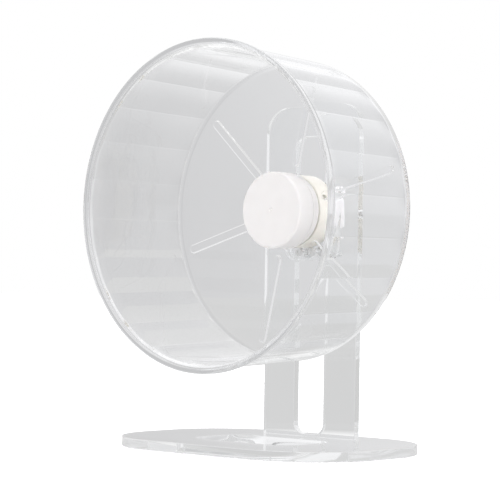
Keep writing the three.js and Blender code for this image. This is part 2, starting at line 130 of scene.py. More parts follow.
# The hub: flanged housing, cap in front of it and ring behind the disc
TURNED_SIDES = 160
HUB_RADIUS = 25 * MM
FLANGE_THICKNESS = 3.2 * MM
FLANGE_FRONT_Y = DISC_FRONT_Y - FLANGE_THICKNESS
FLANGE_FRONT_ROUND = 0.35 * MM
FLANGE_REAR_ROUND = 0.25 * MM
HOUSING_FRONT_Y = 4.5 * MM
HOUSING_RADIUS = 15 * MM
RACE_CLEARANCE = 0.05 * MM
HOUSING_BORE = RACE_RADIUS + RACE_CLEARANCE
HOUSING_LIP = 9.4 * MM
SPIGOT_RADIUS = HUB_HOLE_RADIUS - BORE_CLEARANCE
BEARING_REAR_Y = REAR_BEARING_Y + RACE_WIDTH / 2
BACK_RING_RADIUS = 23.5 * MM
BACK_RING_THICKNESS = 2 * MM
BACK_RING_FRONT_ROUND = 0.2 * MM
BACK_RING_REAR_ROUND = 0.5 * MM
HOUSING_REAR_Y = DRUM_REAR_Y + BACK_RING_THICKNESS
CAP_SEAM = 0.3 * MM
CAP_DEPTH = 13.5 * MM
CAP_REAR_Y = FLANGE_FRONT_Y - CAP_SEAM
CAP_FRONT_Y = CAP_REAR_Y - CAP_DEPTH
CAP_FACE_SHARES = (0.2, 0.5, 0.8)
CAP_ROUND = 1.8 * MM
CAP_ROUND_MARGIN = 0.5 * MM
CAP_SIDE_START = 2.4 * MM
CAP_SIDE_STOP = 0.8 * MM
CAP_REAR_ROUND = 0.3 * MM
CAP_WALL = 1.6 * MM
CAP_SKIRT_OUTER = 16.4 * MM
CAP_SKIRT_INNER = 15.2 * MM
CAP_SKIRT_GAP = 2.4 * MM
# The small round mark that the moulding leaves in the cap's middle, as radius and depth
GATE_MARK = [(0, 0.02 * MM), (0.5 * MM, 0.03 * MM), (0.8 * MM, 0.4 * MM),
             (1.3 * MM, 0.42 * MM), (1.6 * MM, 0.03 * MM), (2.2 * MM, 0)]

# The stand: base sheet with a window, and upright with a slot
BASE_WIDTH = 195 * MM
BASE_DEPTH = 137 * MM
BASE_THICKNESS = 6 * MM
BASE_CORNER = 56 * MM
BASE_EDGE = 0.3 * MM
WINDOW_WIDTH = 84 * MM
WINDOW_DEPTH = 51 * MM
WINDOW_CORNER = 15 * MM
WINDOW_Y = -5.7 * MM
UPRIGHT_THICKNESS = 5 * MM
UPRIGHT_FRONT_Y = 40.8 * MM
UPRIGHT_REAR_Y = UPRIGHT_FRONT_Y + UPRIGHT_THICKNESS
UPRIGHT_WIDTH = 78 * MM
UPRIGHT_TOP_Z = 225 * MM
UPRIGHT_CORNER = 18 * MM
UPRIGHT_FOOT_CORNER = 0.3 * MM
UPRIGHT_EDGE = 0.25 * MM
UPRIGHT_BOTTOM_Z = BASE_THICKNESS + GLUE_GAP
SLOT_WIDTH = 25 * MM
SLOT_CORNER = 8 * MM
SLOT_BOTTOM_Z = 7.5 * MM
SLOT_TOP_Z = 205 * MM

# The clamp plates on both sides of the upright, and the key that runs in its slot
CLAMP_THICKNESS = 2.85 * MM
PLATE_REAR_Y = UPRIGHT_FRONT_Y - PLATE_CLEARANCE
PLATE_FRONT_Y = PLATE_REAR_Y - CLAMP_THICKNESS
REAR_PLATE_FRONT_Y = UPRIGHT_REAR_Y + PLATE_CLEARANCE
REAR_PLATE_REAR_Y = REAR_PLATE_FRONT_Y + CLAMP_THICKNESS
CLAMP_WIDTH = 38 * MM
CLAMP_RISE = 20 * MM
CLAMP_DROP = 32 * MM
CLAMP_CORNER = 9 * MM
CLAMP_EDGE = 0.25 * MM
CLAMP_MARGIN = 0.2 * MM
REAR_CLAMP_EDGE = 0.15 * MM
KEY_CLEARANCE = 0.4 * MM
KEY_WIDTH = SLOT_WIDTH - 2 * KEY_CLEARANCE
KEY_HEIGHT = 36 * MM
KEY_CORNER = SLOT_CORNER - KEY_CLEARANCE
KEY_SETBACK = 0.3 * MM
KEY_REAR_Y = UPRIGHT_REAR_Y - KEY_SETBACK

# The clamp's screws, washers and nuts
CLAMP_SPACING = 11.4 * MM
CLAMP_SCREW_DROP = 26.5 * MM
CLAMP_SCREW_RADIUS = 2 * MM
CLAMP_SCREW_PITCH = 0.7 * MM
CLAMP_SCREW_TAIL = 14 * MM
CLAMP_HEAD_RADIUS = 3 * MM
CLAMP_HEAD_HEIGHT = 1.8 * MM
SCREW_HOLE = CLAMP_SCREW_RADIUS + BORE_CLEARANCE
SCREW_HOLE_SIDES = 28
CLAMP_WASHER_RADIUS = 4.4 * MM
CLAMP_WASHER_THICKNESS = 1 * MM
CLAMP_WASHER_REAR_Y = REAR_PLATE_REAR_Y + CLAMP_WASHER_THICKNESS
CLAMP_NUT_WIDTH = 7 * MM
CLAMP_NUT_BORE = 2.02 * MM
CLAMP_NUT_THICKNESS = 3.2 * MM
CLAMP_NUT_REAR_Y = CLAMP_WASHER_REAR_Y + CLAMP_NUT_THICKNESS

# The cream seat in front of the clamp, and the set screw in its side
SEAT_RADIUS = 24 * MM
SEAT_GAP = 0.6 * MM
SEAT_FRONT_Y = HOUSING_REAR_Y + SEAT_GAP
SEAT_REAR_Y = PLATE_FRONT_Y - GLUE_GAP
SEAT_BORE = 4 * MM
SEAT_FRONT_ROUND = 0.8 * MM
SEAT_REAR_ROUND = 0.3 * MM
SET_SCREW_SETBACK = 7.4 * MM
SET_SCREW_Y = SEAT_FRONT_Y + SET_SCREW_SETBACK
SET_SCREW_ANGLE = radians(22)
SET_SCREW_RADIUS = 2 * MM
SET_SCREW_START = 4.15 * MM
SET_SCREW_SINK = 2 * MM
SET_SCREW_CHAMFER = 0.25 * MM
SET_SCREW_SOCKET = 1 * MM
SET_SCREW_SOCKET_DEPTH = 1.8 * MM
SET_SCREW_HOLE = SET_SCREW_RADIUS + BORE_CLEARANCE
SET_SCREW_HOLE_START = 3.9 * MM
SET_SCREW_HOLE_END = SEAT_RADIUS + 1 * MM
SET_SCREW_HOLE_SIDES = 40

# The axle through the clamp, and the block, washer and nut behind it
AXLE_RADIUS = 3.95 * MM
AXLE_FRONT_Y = 5.3 * MM
AXLE_REAR_Y = 67.7 * MM
AXLE_FRONT_END = 0.4 * MM
AXLE_THREAD_Y = 52 * MM
AXLE_PITCH = 1.25 * MM
AXLE_HOLE = AXLE_RADIUS + BORE_CLEARANCE
AXLE_HOLE_SIDES = 48
BLOCK_WIDTH = 26 * MM
BLOCK_HEIGHT = 28 * MM
BLOCK_CORNER = 3 * MM
BLOCK_EDGE = 0.6 * MM
BLOCK_FRONT_Y = REAR_PLATE_REAR_Y + GLUE_GAP
BLOCK_THICKNESS = 13 * MM
BLOCK_REAR_Y = REAR_PLATE_REAR_Y + BLOCK_THICKNESS
AXLE_WASHER_RADIUS = 7.5 * MM
AXLE_WASHER_THICKNESS = 1.5 * MM
AXLE_WASHER_REAR_Y = BLOCK_REAR_Y + AXLE_WASHER_THICKNESS
AXLE_NUT_WIDTH = 13 * MM
AXLE_NUT_BORE = 4 * MM
AXLE_NUT_THICKNESS = 4 * MM
AXLE_NUT_REAR_Y = AXLE_WASHER_REAR_Y + AXLE_NUT_THICKNESS

# A screw's head, and its thread with depth and tapered tip as shares of the pitch
SCREW_SIDES = 32
SOCKET_SHARE = 0.45
SOCKET_DEPTH_SHARE = 0.3
HEAD_FRONT_SOFT = 0.3 * MM
HEAD_REAR_SOFT = 0.1 * MM
THREAD_RINGS = 6
THREAD_DEPTH_SHARE = 0.5
TIP_LENGTH_SHARE = 0.6
TIP_START_SHARE = 0.35

# The softened edges of washers, and the cone and bore of nuts
WASHER_SIDES = 48
AXLE_WASHER_SIDES = 64
WASHER_OUTER_SOFT = 0.15 * MM
WASHER_INNER_SOFT = 0.08 * MM
NUT_SIDES = 60
NUT_BORE_SIDES = 36
NUT_BORE_CHAMFER = 0.35 * MM
NUT_FACE_SHARE = 0.97
NUT_CONE_SLOPE = 1.9
NUT_CONE_STEPS = [0, 0.08 * MM, 0.16 * MM, 0.26 * MM, 0.38 * MM]
NUT_CONE_END = 0.5 * MM

# Light that has met this many faces inside the clear pieces leaves them straight, or fewer where thick
LONGEST_PATH = 11.5
THICK_PATH_CUT = 6.0

# The camera
CAMERA_PLACE = (0.84296, -0.98732, 0.1079)
CAMERA_YAW = radians(41.09)
CAMERA_PITCH = radians(-0.91)
CAMERA_ROLL = radians(0.95)
CAMERA_LENS = 144
CAMERA_SENSOR = 36
CAMERA_NEAR = 0.01
CAMERA_FAR = 50

# Each soft light: where it is, its full and outer half angles in degrees, and its strength
BACKDROP = (-0.657, 0.754, 0.0)
AROUND = 0.93
LOBES = [
    (BACKDROP, 30, 65, -0.325),
    ((-0.28, 0.96, 0.0), 5, 32, 0.17),
    ((-0.4, 0.75, 0.3), 5, 21, 0.15),
    ((0, 0, 1), 5, 45, -0.25),
    ((-0.45, 0.6, 0.66), 10, 40, 0.3),
    ((-0.6, -0.45, 0.55), 10, 35, -0.06),
    ((-0.66, -0.75, -0.05), 8, 35, -0.14),
    ((0.5, -0.85, -0.1), 20, 60, -0.15),
    ((-0.93, 0.36, 0.08), 4, 18, 0.18),
]
BLUE_SHARE = 1.012
# What lights the solid pieces
LIT_AROUND = 1.62
LIT_LOBES = [
    ((0, -1, 0.1), 20, 75, -1.15),
    ((1.0, 0.1, 0.6), 10, 80, 1.0),
    ((0, 0.2, 1), 10, 60, 0.6),
    ((-0.2, 1, 0.2), 20, 70, -0.6),
]
MOST_BOUNCES = 64
MOST_GLOSSY_BOUNCES = 32
MOST_TRANSPARENT_BOUNCES = 48

# The floor, white to the eye, and where it shows through plastic a grey glow with painted lighter and
# darker patches
FLOOR_Z = -0.5 * MM
FLOOR_RINGS = (0.3, 1.0, 3.0, 12.0)
FLOOR_SIDES = 64
FLOOR_SHADES = (0.80, 0.83)
FLOOR_LIFT = 0.22
FLOOR_LIT = 1.5
FLOOR_AROUND = 0.77
# Painted shade: patches of the floor's grey glow made darker towards these directions
FLOOR_LOBES = [
    (BACKDROP, 35, 80, -0.10),
    ((0.1, -1, 0), 40, 100, -0.14),
    ((0.9, 0.4, 0), 20, 60, -0.08),
]
# A painted pool of light in the floor's glow close behind the base: its light, and the distances between
# which it comes and goes
FLOOR_REAR_LOBE = (BACKDROP, 10, 55, 0.35)
FLOOR_REAR_START = (0.10, 0.13)
FLOOR_REAR_STOP = (0.14, 0.19)
# A painted lighter stretch in the floor's glow far out to the left
FLOOR_LEFT_LOBE = ((-0.93, 0.36, 0), 4, 22, 0.2)
FLOOR_LEFT_START = (0.3, 0.45)
# A painted sheen: away from the base the floor's glow is lighter where rays meet it steeply
FLOOR_STEEP = 0.15
FLOOR_STEEP_LOBE = ((-0.87, 0.5, 0), 15, 36, 0.32)
FLOOR_STEEP_SLANT = (0.86, 0.62)
FLOOR_STEEP_START = (0.12, 0.18)


# Outlines and sections

def polar(radius, angle):
    """Points of an outline at the given distance and angle from its middle."""
    return np.stack([radius * np.cos(angle), radius * np.sin(angle)], 1)


def even_angles(count):
    return TURN * np.arange(count) / count


def circle(radius, count, centre=(0.0, 0.0)):
    return polar(radius, even_angles(count)) + np.array(centre)


def box_outline(width, height, upper, centre=(0.0, 0.0), steps=10, lower=None):
    """The outline of a box as a function of its inset. Its upper and lower corners have their own radii."""
    lower = upper if lower is None else lower
    corners = [(1, 1, upper), (-1, 1, upper), (-1, -1, lower), (1, -1, lower)]

    def outline(inset):
        points = []
        for k, (across, up, radius) in enumerate(corners):
            r = max(radius - inset, SMALLEST_ROUND)
            cx = centre[0] + across * (width / 2 - inset - r)
            cy = centre[1] + up * (height / 2 - inset - r)
            for i in range(steps + 1):
                angle = pi / 2 * (k + i / steps)
                points.append((cx + r * cos(angle), cy + r * sin(angle)))
        return np.array(points)

    return outline


def round_outline(radius, count, centre):
    """The outline of a round hole as a function of its inset."""
    def outline(inset):
        return circle(radius - inset, count, centre)

    return outline


def quarter(size, steps):
    """(inset, depth) pairs over a rounded edge, from the face to the side."""
    angles = [pi / 2 * i / steps for i in range(steps + 1)]
    return [(size * (1 - sin(a)), size * (1 - cos(a))) for a in angles]


def edge_steps(front, rear, size, steps=3, margin=None):
    """(inset, depth) pairs over the rounded front edge and the rear one, from margin to margin if given."""
    edge = quarter(size, steps)
    pairs = [(i, front + d) for i, d in edge] + [(i, rear - d) for i, d in reversed(edge)]
    return pairs if margin is None else [(size + margin, front), *pairs, (size + margin, rear)]


def arc(centre_r, centre_y, radius, start, end, steps):
    """Points of an arc in a section, as (radius, depth), with its ends given in degrees."""
    result = []
    for i in range(steps + 1):
        a = radians(start + (end - start) * i / steps)
        result.append((centre_r + radius * cos(a), centre_y + radius * sin(a)))
    return result


def front_corner(radius, front, size, steps=3):
    """The rounded corner of a section between its front face and its outer side."""
    return arc(radius - size, front + size, size, -90, 0, steps)


def rear_corner(radius, rear, size, steps=3):
    """The rounded corner of a section between its outer side and its rear face."""
    return arc(radius - size, rear - size, size, 0, 90, steps)


def inside(loop, points):
    """Which points lie inside a closed outline."""
    x, y = points[:, 0], points[:, 1]
    result = np.zeros(len(points), bool)
    ax, ay = loop[:, 0], loop[:, 1]
    bx, by = np.roll(ax, -1), np.roll(ay, -1)
    for x0, y0, x1, y1 in zip(ax, ay, bx, by):
        if y0 == y1:
            continue
        crosses = (y0 > y) != (y1 > y)
        result ^= crosses & (x < (x1 - x0) * (y - y0) / (y1 - y0) + x0)
    return result


# Building pieces from rings of points

class Shell:
    """Gathers rings of points and the faces between them into one closed piece.
    A point is (across, up, depth), and facing says which way each of these goes in the scene.
    Its tread and thick shade shares say how far it takes part in the treads, and how far it is thick
    plastic that takes the painted edge shade."""

    def __init__(self, facing="standing"):
        self.facing = facing
        self.points = []
        self.faces = []
        self.treads = []
        self.thick_shades = []

    def ring(self, loop, depth, tread=0.0, thick_shade=0.0):
        start = len(self.points)
        self.points += [(float(u), float(v), float(depth)) for u, v in loop]
        self.treads += [tread] * len(loop)
        self.thick_shades += [thick_shade] * len(loop)
        return list(range(start, start + len(loop)))

    def round_rings(self, pairs, sides):
        """Rings about the middle from (radius, depth) pairs."""
        return [self.ring(circle(radius, sides), depth) for radius, depth in pairs]

    def band(self, a, b):
        count = len(a)
        for i in range(count):
            j = (i + 1) % count
            self.faces.append((a[i], a[j], b[j], b[i]))

    def bands(self, rings):
        for a, b in zip(rings, rings[1:]):
            self.band(a, b)

    def flat(self, outer, holes=()):
        """Fills a flat outline round its holes."""
        rings = [outer, *holes]
        order = [i for r in rings for i in r]
        coords = [Vector(self.points[i][:2]) for i in order]
        edges = []
        start = 0
        for r in rings:
            n = len(r)
            edges += [(start + k, start + (k + 1) % n) for k in range(n)]
            start += n
        verts, _, triangles, origin, _, _ = delaunay_2d_cdt(coords, edges, [], 0, FLAT_TOLERANCE, True)
        loops = [np.array([self.points[i][:2] for i in r]) for r in rings]
        middles = np.array([np.mean([verts[k] for k in t], axis=0) for t in triangles])
        keep = inside(loops[0], middles)
        for loop in loops[1:]:
            keep &= ~inside(loop, middles)
        for t, kept in zip(triangles, keep):
            if kept:
                self.faces.append(tuple(order[origin[k][0]] for k in t))

    def cap(self, ring):
        self.faces.append(tuple(ring))

    def socket(self, face, size, mouth_depth, floor_depth):
        """Fills a round face up to a hexagon socket."""
        mouth = self.ring(circle(size, 6), mouth_depth)
        floor = self.ring(circle(size, 6), floor_depth)
        self.flat(face, [mouth])
        self.band(mouth, floor)
        self.cap(floor)

    def piece(self, name, sharp=40, merge=MERGE_DISTANCE):
        if self.facing == "standing":
            points = [(u, d, v) for u, v, d in self.points]
        else:
            points = [(u, v, d) for u, v, d in self.points]
        return make_piece(name, points, self.faces, sharp, merge,
                          {"tread_share": self.treads, "thick_share": self.thick_shades})


def soften(mesh, sharp):
    """Smooth shading, but with an edge where faces meet at more than an angle in degrees."""
    mesh.shade_smooth()
    if sharp:
        mesh.set_sharp_from_angle(angle=radians(sharp))


def close_skin(mesh, skins, merge):
    """Fills a mesh with one or more skins, joined where their points meet, and with all faces outwards."""
    work = bmesh.new()
    for skin in skins:
        work.from_mesh(skin)
    if merge:
        bmesh.ops.remove_doubles(work, verts=work.verts, dist=merge)
    bmesh.ops.recalc_face_normals(work, faces=work.faces)
    work.to_mesh(mesh)
    work.free()


def make_piece(name, points, faces, sharp, merge, shares=()):
    mesh = bpy.data.meshes.new(name)
    mesh.from_pydata(points, [], faces)
    for label, values in dict(shares).items():
        if any(values):
            layer = mesh.attributes.new(label, "FLOAT", "POINT")
            layer.data.foreach_set("value", np.array(values, np.float32))
    close_skin(mesh, [mesh], merge)
    mesh.validate()
    soften(mesh, sharp)
    piece = bpy.data.objects.new(name, mesh)
    bpy.context.scene.collection.objects.link(piece)
    return piece


def keep_result(piece, modifier):
    """Keeps what a modifier makes of a piece as its plain mesh."""
    bpy.context.view_layer.update()
    graph = bpy.context.evaluated_depsgraph_get()
    mesh = bpy.data.meshes.new_from_object(piece.evaluated_get(graph), depsgraph=graph)
    piece.modifiers.remove(modifier)
    mesh.name = piece.name
    piece.data = mesh


def sheet(name, outline, holes, front, rear, edge, facing="standing"):
    """A flat sheet with softened edges. Each outline is a function of its inset."""
    shell = Shell(facing)
    steps = edge_steps(front, rear, edge, margin=FACE_MARGIN)
    fronts, rears = [], []
    for loop_of, sign in [(outline, 1)] + [(hole, -1) for hole in holes]:
        rings = [shell.ring(loop_of(sign * inset), depth) for inset, depth in steps]
        shell.bands(rings)
        fronts.append(rings[0])
        rears.append(rings[-1])
    shell.flat(fronts[0], fronts[1:])
    shell.flat(rears[0], rears[1:])
    return shell.piece(name, sharp=50)


def turned(name, section, sides=TURNED_SIDES):
    """A closed section of (radius, depth) points turned about the wheel's axis."""
    shell = Shell()
    rings = []
    for radius, depth in section:
        count = 1 if radius < FINE_MERGE_DISTANCE else sides
        rings.append(shell.ring(circle(radius, count, (0.0, AXIS_Z)), depth))
    for a, b in zip(rings, rings[1:] + rings[:1]):
        if len(a) == 1 and len(b) == 1:
            continue
        if len(a) == 1 or len(b) == 1:
            tip, ring = (a[0], b) if len(a) == 1 else (b[0], a)
            for i in range(sides):
                shell.faces.append((tip, ring[i], ring[(i + 1) % sides]))
        else:
            shell.band(a, b)
    return shell.piece(name, sharp=35)


# Node trees

def add_sockets(tree, way, sockets):
    """Gives a node group its sockets, each as label, kind and, if it has one, starting value."""
    for label, kind, *value in sockets:
        socket = tree.interface.new_socket(label, in_out=way, socket_type="NodeSocket" + kind)
        if value:
            socket.default_value = value[0]


class Nodes:
    """Short calls for placing and joining nodes in one tree."""

    def __init__(self, tree):
        self.tree = tree

    def feed(self, socket, value):
        if isinstance(value, bpy.types.NodeSocket):
            self.tree.links.new(value, socket)
        else:
            socket.default_value = value

    def add(self, kind, links=(), **settings):
        node = self.tree.nodes.new(kind)
        for key, value in settings.items():
            setattr(node, key, value)
        for socket, value in dict(links).items():
            self.feed(node.inputs[socket], value)
        return node

    def out(self, kind, links=(), **settings):
        return self.add(kind, links, **settings).outputs[0]

    def math(self, operation, *values, clamp=False):
        return self.out("ShaderNodeMath", enumerate(values), operation=operation, use_clamp=clamp)

    def plus(self, a, b):
        return self.math("ADD", a, b)

    def times(self, a, b):
        return self.math("MULTIPLY", a, b)

    def vector(self, operation, *values):
        return self.add("ShaderNodeVectorMath", enumerate(values), operation=operation).outputs

    def place(self, scale=(1, 1, 1)):
        point = self.add("ShaderNodeTexCoord").outputs["Object"]
        return self.out("ShaderNodeMapping", {"Vector": point, "Scale": scale})

    def noise(self, vector, scale, detail=2.0, roughness=0.5):
        return self.out("ShaderNodeTexNoise", {"Vector": vector, "Scale": scale, "Detail": detail,
                                               "Roughness": roughness})

    def span(self, value, low, high, to_low=0.0, to_high=1.0):
        return self.out("ShaderNodeMapRange", {"Value": value, "From Min": low, "From Max": high,
                                               "To Min": to_low, "To Max": to_high})

    def blend(self, share, first, second):
        return self.add("ShaderNodeMix", {0: share, 6: first, 7: second}, data_type="RGBA").outputs[2]

    def bump(self, height):
        return self.out("ShaderNodeBump", {"Strength": 1.0, "Distance": 1.0, "Height": height})

    def group(self, tree, **values):
        node = self.add("ShaderNodeGroup", node_tree=tree)
        for label, value in values.items():
            self.feed(node.inputs[label.replace("_", " ")], value)
        return node.outputs


class ShapeTree(Nodes):
    """A geometry node tree under construction, with named inputs and a material for what it makes."""

    def __init__(self, name, inputs):
        super().__init__(bpy.data.node_groups.new(name, "GeometryNodeTree"))
        add_sockets(self.tree, "INPUT", [("Geometry", "Geometry"), *inputs, ("Material", "Material")])
        add_sockets(self.tree, "OUTPUT", [("Geometry", "Geometry")])
        self.values = self.add("NodeGroupInput").outputs

    def copies(self, count, place, rotation=(0, 0, 0)):
        """Copies of the shape that comes in, one on each of a number of points."""
        dots = self.out("GeometryNodePoints", {"Count": count, "Position": place})
        return self.out("GeometryNodeInstanceOnPoints", {"Points": dots, "Rotation": rotation,
                                                         "Instance": self.values["Geometry"]})

    def finish(self, geometry):
        made = self.out("GeometryNodeRealizeInstances", {"Geometry": geometry})
        material = self.values["Material"]
        dressed = self.out("GeometryNodeSetMaterial", {"Geometry": made, "Material": material})
        self.add("NodeGroupOutput", {0: dressed})
        return self.tree


def run_tree(piece, tree, **values):
    """Runs a tree on a piece and keeps the result as a plain mesh."""
    modifier = piece.modifiers.new("shape", "NODES")
    modifier.node_group = tree
    for item in tree.interface.items_tree:
        label = item.name.replace(" ", "_")
        if item.item_type == "SOCKET" and item.in_out == "INPUT" and label in values:
            modifier[item.identifier] = values[label]
    keep_result(piece, modifier)
    return piece


def ring_copies_tree():
    """Copies a shape round a centre, each copy turned further than the last."""
    t = ShapeTree("ring_copies", [("Count", "Int", 1), ("Phase", "Float", 0.0), ("Centre", "Vector")])
    share = t.math("DIVIDE", t.out("GeometryNodeInputIndex"), t.values["Count"])
    angle = t.math("MULTIPLY_ADD", share, TURN, t.values["Phase"])
    rotation = t.out("ShaderNodeCombineXYZ", {1: t.times(angle, -1.0)})
    return t.finish(t.copies(t.values["Count"], t.values["Centre"], rotation))


def pair_copies_tree():
    """Copies a shape to two places side by side."""
    t = ShapeTree("pair_copies", [("Spacing", "Float", 0.0), ("Centre", "Vector")])
    side = t.math("SUBTRACT", t.out("GeometryNodeInputIndex"), 0.5)
    across = t.out("ShaderNodeCombineXYZ", {0: t.times(side, t.values["Spacing"])})
    return t.finish(t.copies(2, t.vector("ADD", across, t.values["Centre"])[0]))


def tread_tree():
    """Pushes the drum's wall inwards in low pointed treads, and keeps the result as one skin."""
    t = ShapeTree("drum_treads", [("Count", "Int", 1), ("Height", "Float", 0.0), ("Phase", "Float", 0.0),
                                  ("Softness", "Float", 0.0), ("Crest", "Float", 0.0),
                                  ("Crest Width", "Float", 1.0), ("Axis Height", "Float", 0.0)])
    values = t.values
    parts = t.add("ShaderNodeSeparateXYZ", {0: t.out("GeometryNodeInputPosition")}).outputs
    height = t.math("SUBTRACT", parts[2], values["Axis Height"])
    angle = t.math("ARCTAN2", height, parts[0])
    half_turns = t.times(t.math("SUBTRACT", angle, values["Phase"]),
                         t.math("DIVIDE", values["Count"], 2.0))
    wave = t.math("SINE", half_turns)
    softened = t.math("SQRT", t.plus(t.times(wave, wave),
                                     t.times(values["Softness"], values["Softness"])))
    rise = t.times(t.math("SUBTRACT", 1.0, softened), values["Height"])
    narrow = t.math("DIVIDE", wave, values["Crest Width"])
    crest = t.math("EXPONENT", t.times(t.times(narrow, narrow), -1.0))
    rise = t.plus(rise, t.times(crest, values["Crest"]))
    share = t.out("GeometryNodeInputNamedAttribute", {"Name": "tread_share"}, data_type="FLOAT")
    inward = t.times(t.times(rise, share), -1.0)
    outward = t.out("ShaderNodeCombineXYZ", {0: t.math("COSINE", angle), 2: t.math("SINE", angle)})
    shift = t.out("ShaderNodeVectorMath", {0: outward, "Scale": inward}, operation="SCALE")
    return t.finish(t.out("GeometryNodeSetPosition", {"Geometry": values["Geometry"], "Offset": shift}))


RING_COPIES = ring_copies_tree()
PAIR_COPIES = pair_copies_tree()


# Materials

def shader_group(name, inputs, outputs):
    group = bpy.data.node_groups.new(name, "ShaderNodeTree")
    add_sockets(group, "INPUT", inputs)
    add_sockets(group, "OUTPUT", outputs)
    n = Nodes(group)
    return n, n.add("NodeGroupInput").outputs, n.add("NodeGroupOutput").inputs


def fine_scratches_group():
    """Long hair scratches in scattered directions, as a height and a mask."""
    n, inputs, outputs = shader_group(
        "fine_scratches",
        [("Vector", "Vector"), ("Scale", "Float", 60.0), ("Amount", "Float", 0.5)],
        [("Height", "Float"), ("Mask", "Float")])
    total = 0.0
    for turn in (0.3, 1.2, 2.1):
        line = n.out("ShaderNodeMapping", {"Vector": inputs["Vector"], "Scale": (1.0, 0.03, 0.03),
                                           "Rotation": (turn, 0.4 * turn, turn)})
        streak = n.span(n.noise(line, n.times(inputs["Scale"], 14.0), 1.0), 0.66, 0.72)
        total = n.math("MAXIMUM", total, streak)
    patch = n.noise(inputs["Vector"], inputs["Scale"])
    mask = n.times(total, n.span(patch, 0.45, 0.65))
    mask = n.times(mask, inputs["Amount"])
    n.feed(outputs["Mask"], mask)
    n.feed(outputs["Height"], n.times(mask, -1.0))
    return n.tree


def handling_marks_group():
    """Soft clouds of dust and finger marks, as a mask."""
    n, inputs, outputs = shader_group(
        "handling_marks",
        [("Vector", "Vector"), ("Scale", "Float", 20.0), ("Amount", "Float", 0.5)],
        [("Mask", "Float")])
    cloud = n.noise(inputs["Vector"], inputs["Scale"], 5.0, 0.6)
    speck = n.noise(inputs["Vector"], n.times(inputs["Scale"], 40.0))
    mask = n.plus(n.span(cloud, 0.45, 0.75), n.span(speck, 0.7, 0.78, 0.0, 0.6))
    n.feed(outputs["Mask"], n.math("MULTIPLY", mask, inputs["Amount"], clamp=True))
    return n.tree


def moulded_grain_group():
    """The fine skin of moulded plastic: a height and slow mottling."""
    n, inputs, outputs = shader_group(
        "moulded_grain",
        [("Vector", "Vector"), ("Scale", "Float", 1800.0), ("Mottle Scale", "Float", 60.0)],
        [("Height", "Float"), ("Mottle", "Float")])
    n.feed(outputs["Height"], n.noise(inputs["Vector"], inputs["Scale"], 3.0))
    n.feed(outputs["Mottle"], n.noise(inputs["Vector"], inputs["Mottle Scale"], 3.0))
    return n.tree


SCRATCHES = fine_scratches_group()
MARKS = handling_marks_group()
GRAIN = moulded_grain_group()


def new_material(name):
    material = bpy.data.materials.new(name)
    material.use_nodes = True
    return material, Nodes(material.node_tree), material.node_tree.nodes["Principled BSDF"].inputs


def darker(colour, share):
    return tuple(share * c for c in colour[:3]) + (1.0,)


def clear_plastic(name, tint, ior, wave_scale, wave_height, marks_rough,
                  stretch=(1, 1, 1), thick_shade_tint=None):
    """Clear plastic: a faint tint, slow waves left by the mould or the casting, dust and hair scratches. A
    thick shade tint, if given, is painted shade on the thick edges.
    """
    material, n, inputs = new_material(name)
    point = n.place()
    marks = n.group(MARKS, Vector=point, Scale=14.0, Amount=0.4)["Mask"]
    scratches = n.group(SCRATCHES, Vector=point, Scale=22.0, Amount=0.6)
    wave = n.noise(n.place(stretch), wave_scale)
    shown = n.blend(marks, tint, darker(tint, 0.93))
    depth = n.add("ShaderNodeLightPath").outputs["Ray Depth"]
    if thick_shade_tint:
        share = n.add("ShaderNodeAttribute", attribute_name="thick_share").outputs["Fac"]
        wave_height = n.times(n.math("SUBTRACT", 1.0, share), wave_height)
        # Painted shade: the thick edges blend towards the darker thick shade tint, standing in for the dark
        # band along the lip and rear rim.
        shown = n.blend(share, shown, thick_shade_tint)
        depth = n.plus(depth, n.times(share, THICK_PATH_CUT))
    height = n.plus(n.times(wave, wave_height),
                    n.times(scratches["Height"], 0.004 * MM))
    rough = n.plus(n.times(marks, marks_rough), n.times(scratches["Mask"], 0.08))
    n.feed(inputs["Base Color"], shown)
    n.feed(inputs["Roughness"], rough)
    n.feed(inputs["Normal"], n.bump(height))
    n.feed(inputs["Alpha"], n.math("LESS_THAN", depth, LONGEST_PATH))
    inputs["IOR"].default_value = ior
    inputs["Transmission Weight"].default_value = 1.0
    return material


def moulded_plastic(name, colour, deeper, rough, grain_height):
    """Solid moulded plastic: fine skin, slow mottling, a little scattered light and handling marks."""
    material, n, inputs = new_material(name)
    point = n.place()
    grain = n.group(GRAIN, Vector=point, Scale=2200.0, Mottle_Scale=70.0)
    marks = n.group(MARKS, Vector=point, Scale=60.0, Amount=0.35)["Mask"]
    scratches = n.group(SCRATCHES, Vector=point, Scale=80.0, Amount=0.5)
    roughness = n.plus(n.times(marks, 0.12), rough)
    roughness = n.math("SUBTRACT", roughness, n.times(scratches["Mask"], 0.08))
    height = n.plus(n.times(grain["Height"], grain_height),
                    n.times(scratches["Height"], 0.01 * MM))
    n.feed(inputs["Base Color"], n.blend(n.span(grain["Mottle"], 0.3, 0.7), colour, deeper))
    n.feed(inputs["Roughness"], roughness)
    n.feed(inputs["Normal"], n.bump(height))
    inputs["IOR"].default_value = 1.5
    inputs["Subsurface Weight"].default_value = 0.15
    inputs["Subsurface Radius"].default_value = (1.0, 0.9, 0.8)
    inputs["Subsurface Scale"].default_value = 1.2 * MM
    return material


def turned_steel(name, colour, rough, line_scale):
    """Plated steel with fine turning lines, duller patches and a little wear."""
    material, n, inputs = new_material(name)
    lines = n.noise(n.place((0.15, 1.0, 0.15)), line_scale, 4.0)
    marks = n.group(MARKS, Vector=n.place(), Scale=120.0, Amount=0.6)["Mask"]
    roughness = n.plus(n.span(lines, 0.3, 0.7, rough - 0.06, rough + 0.08),
                       n.times(marks, 0.12))
    n.feed(inputs["Base Color"], n.blend(marks, colour, darker(colour, 0.88)))
    n.feed(inputs["Roughness"], roughness)
    n.feed(inputs["Normal"], n.bump(n.times(lines, 0.006 * MM)))
    inputs["Metallic"].default_value = 1.0
    return material
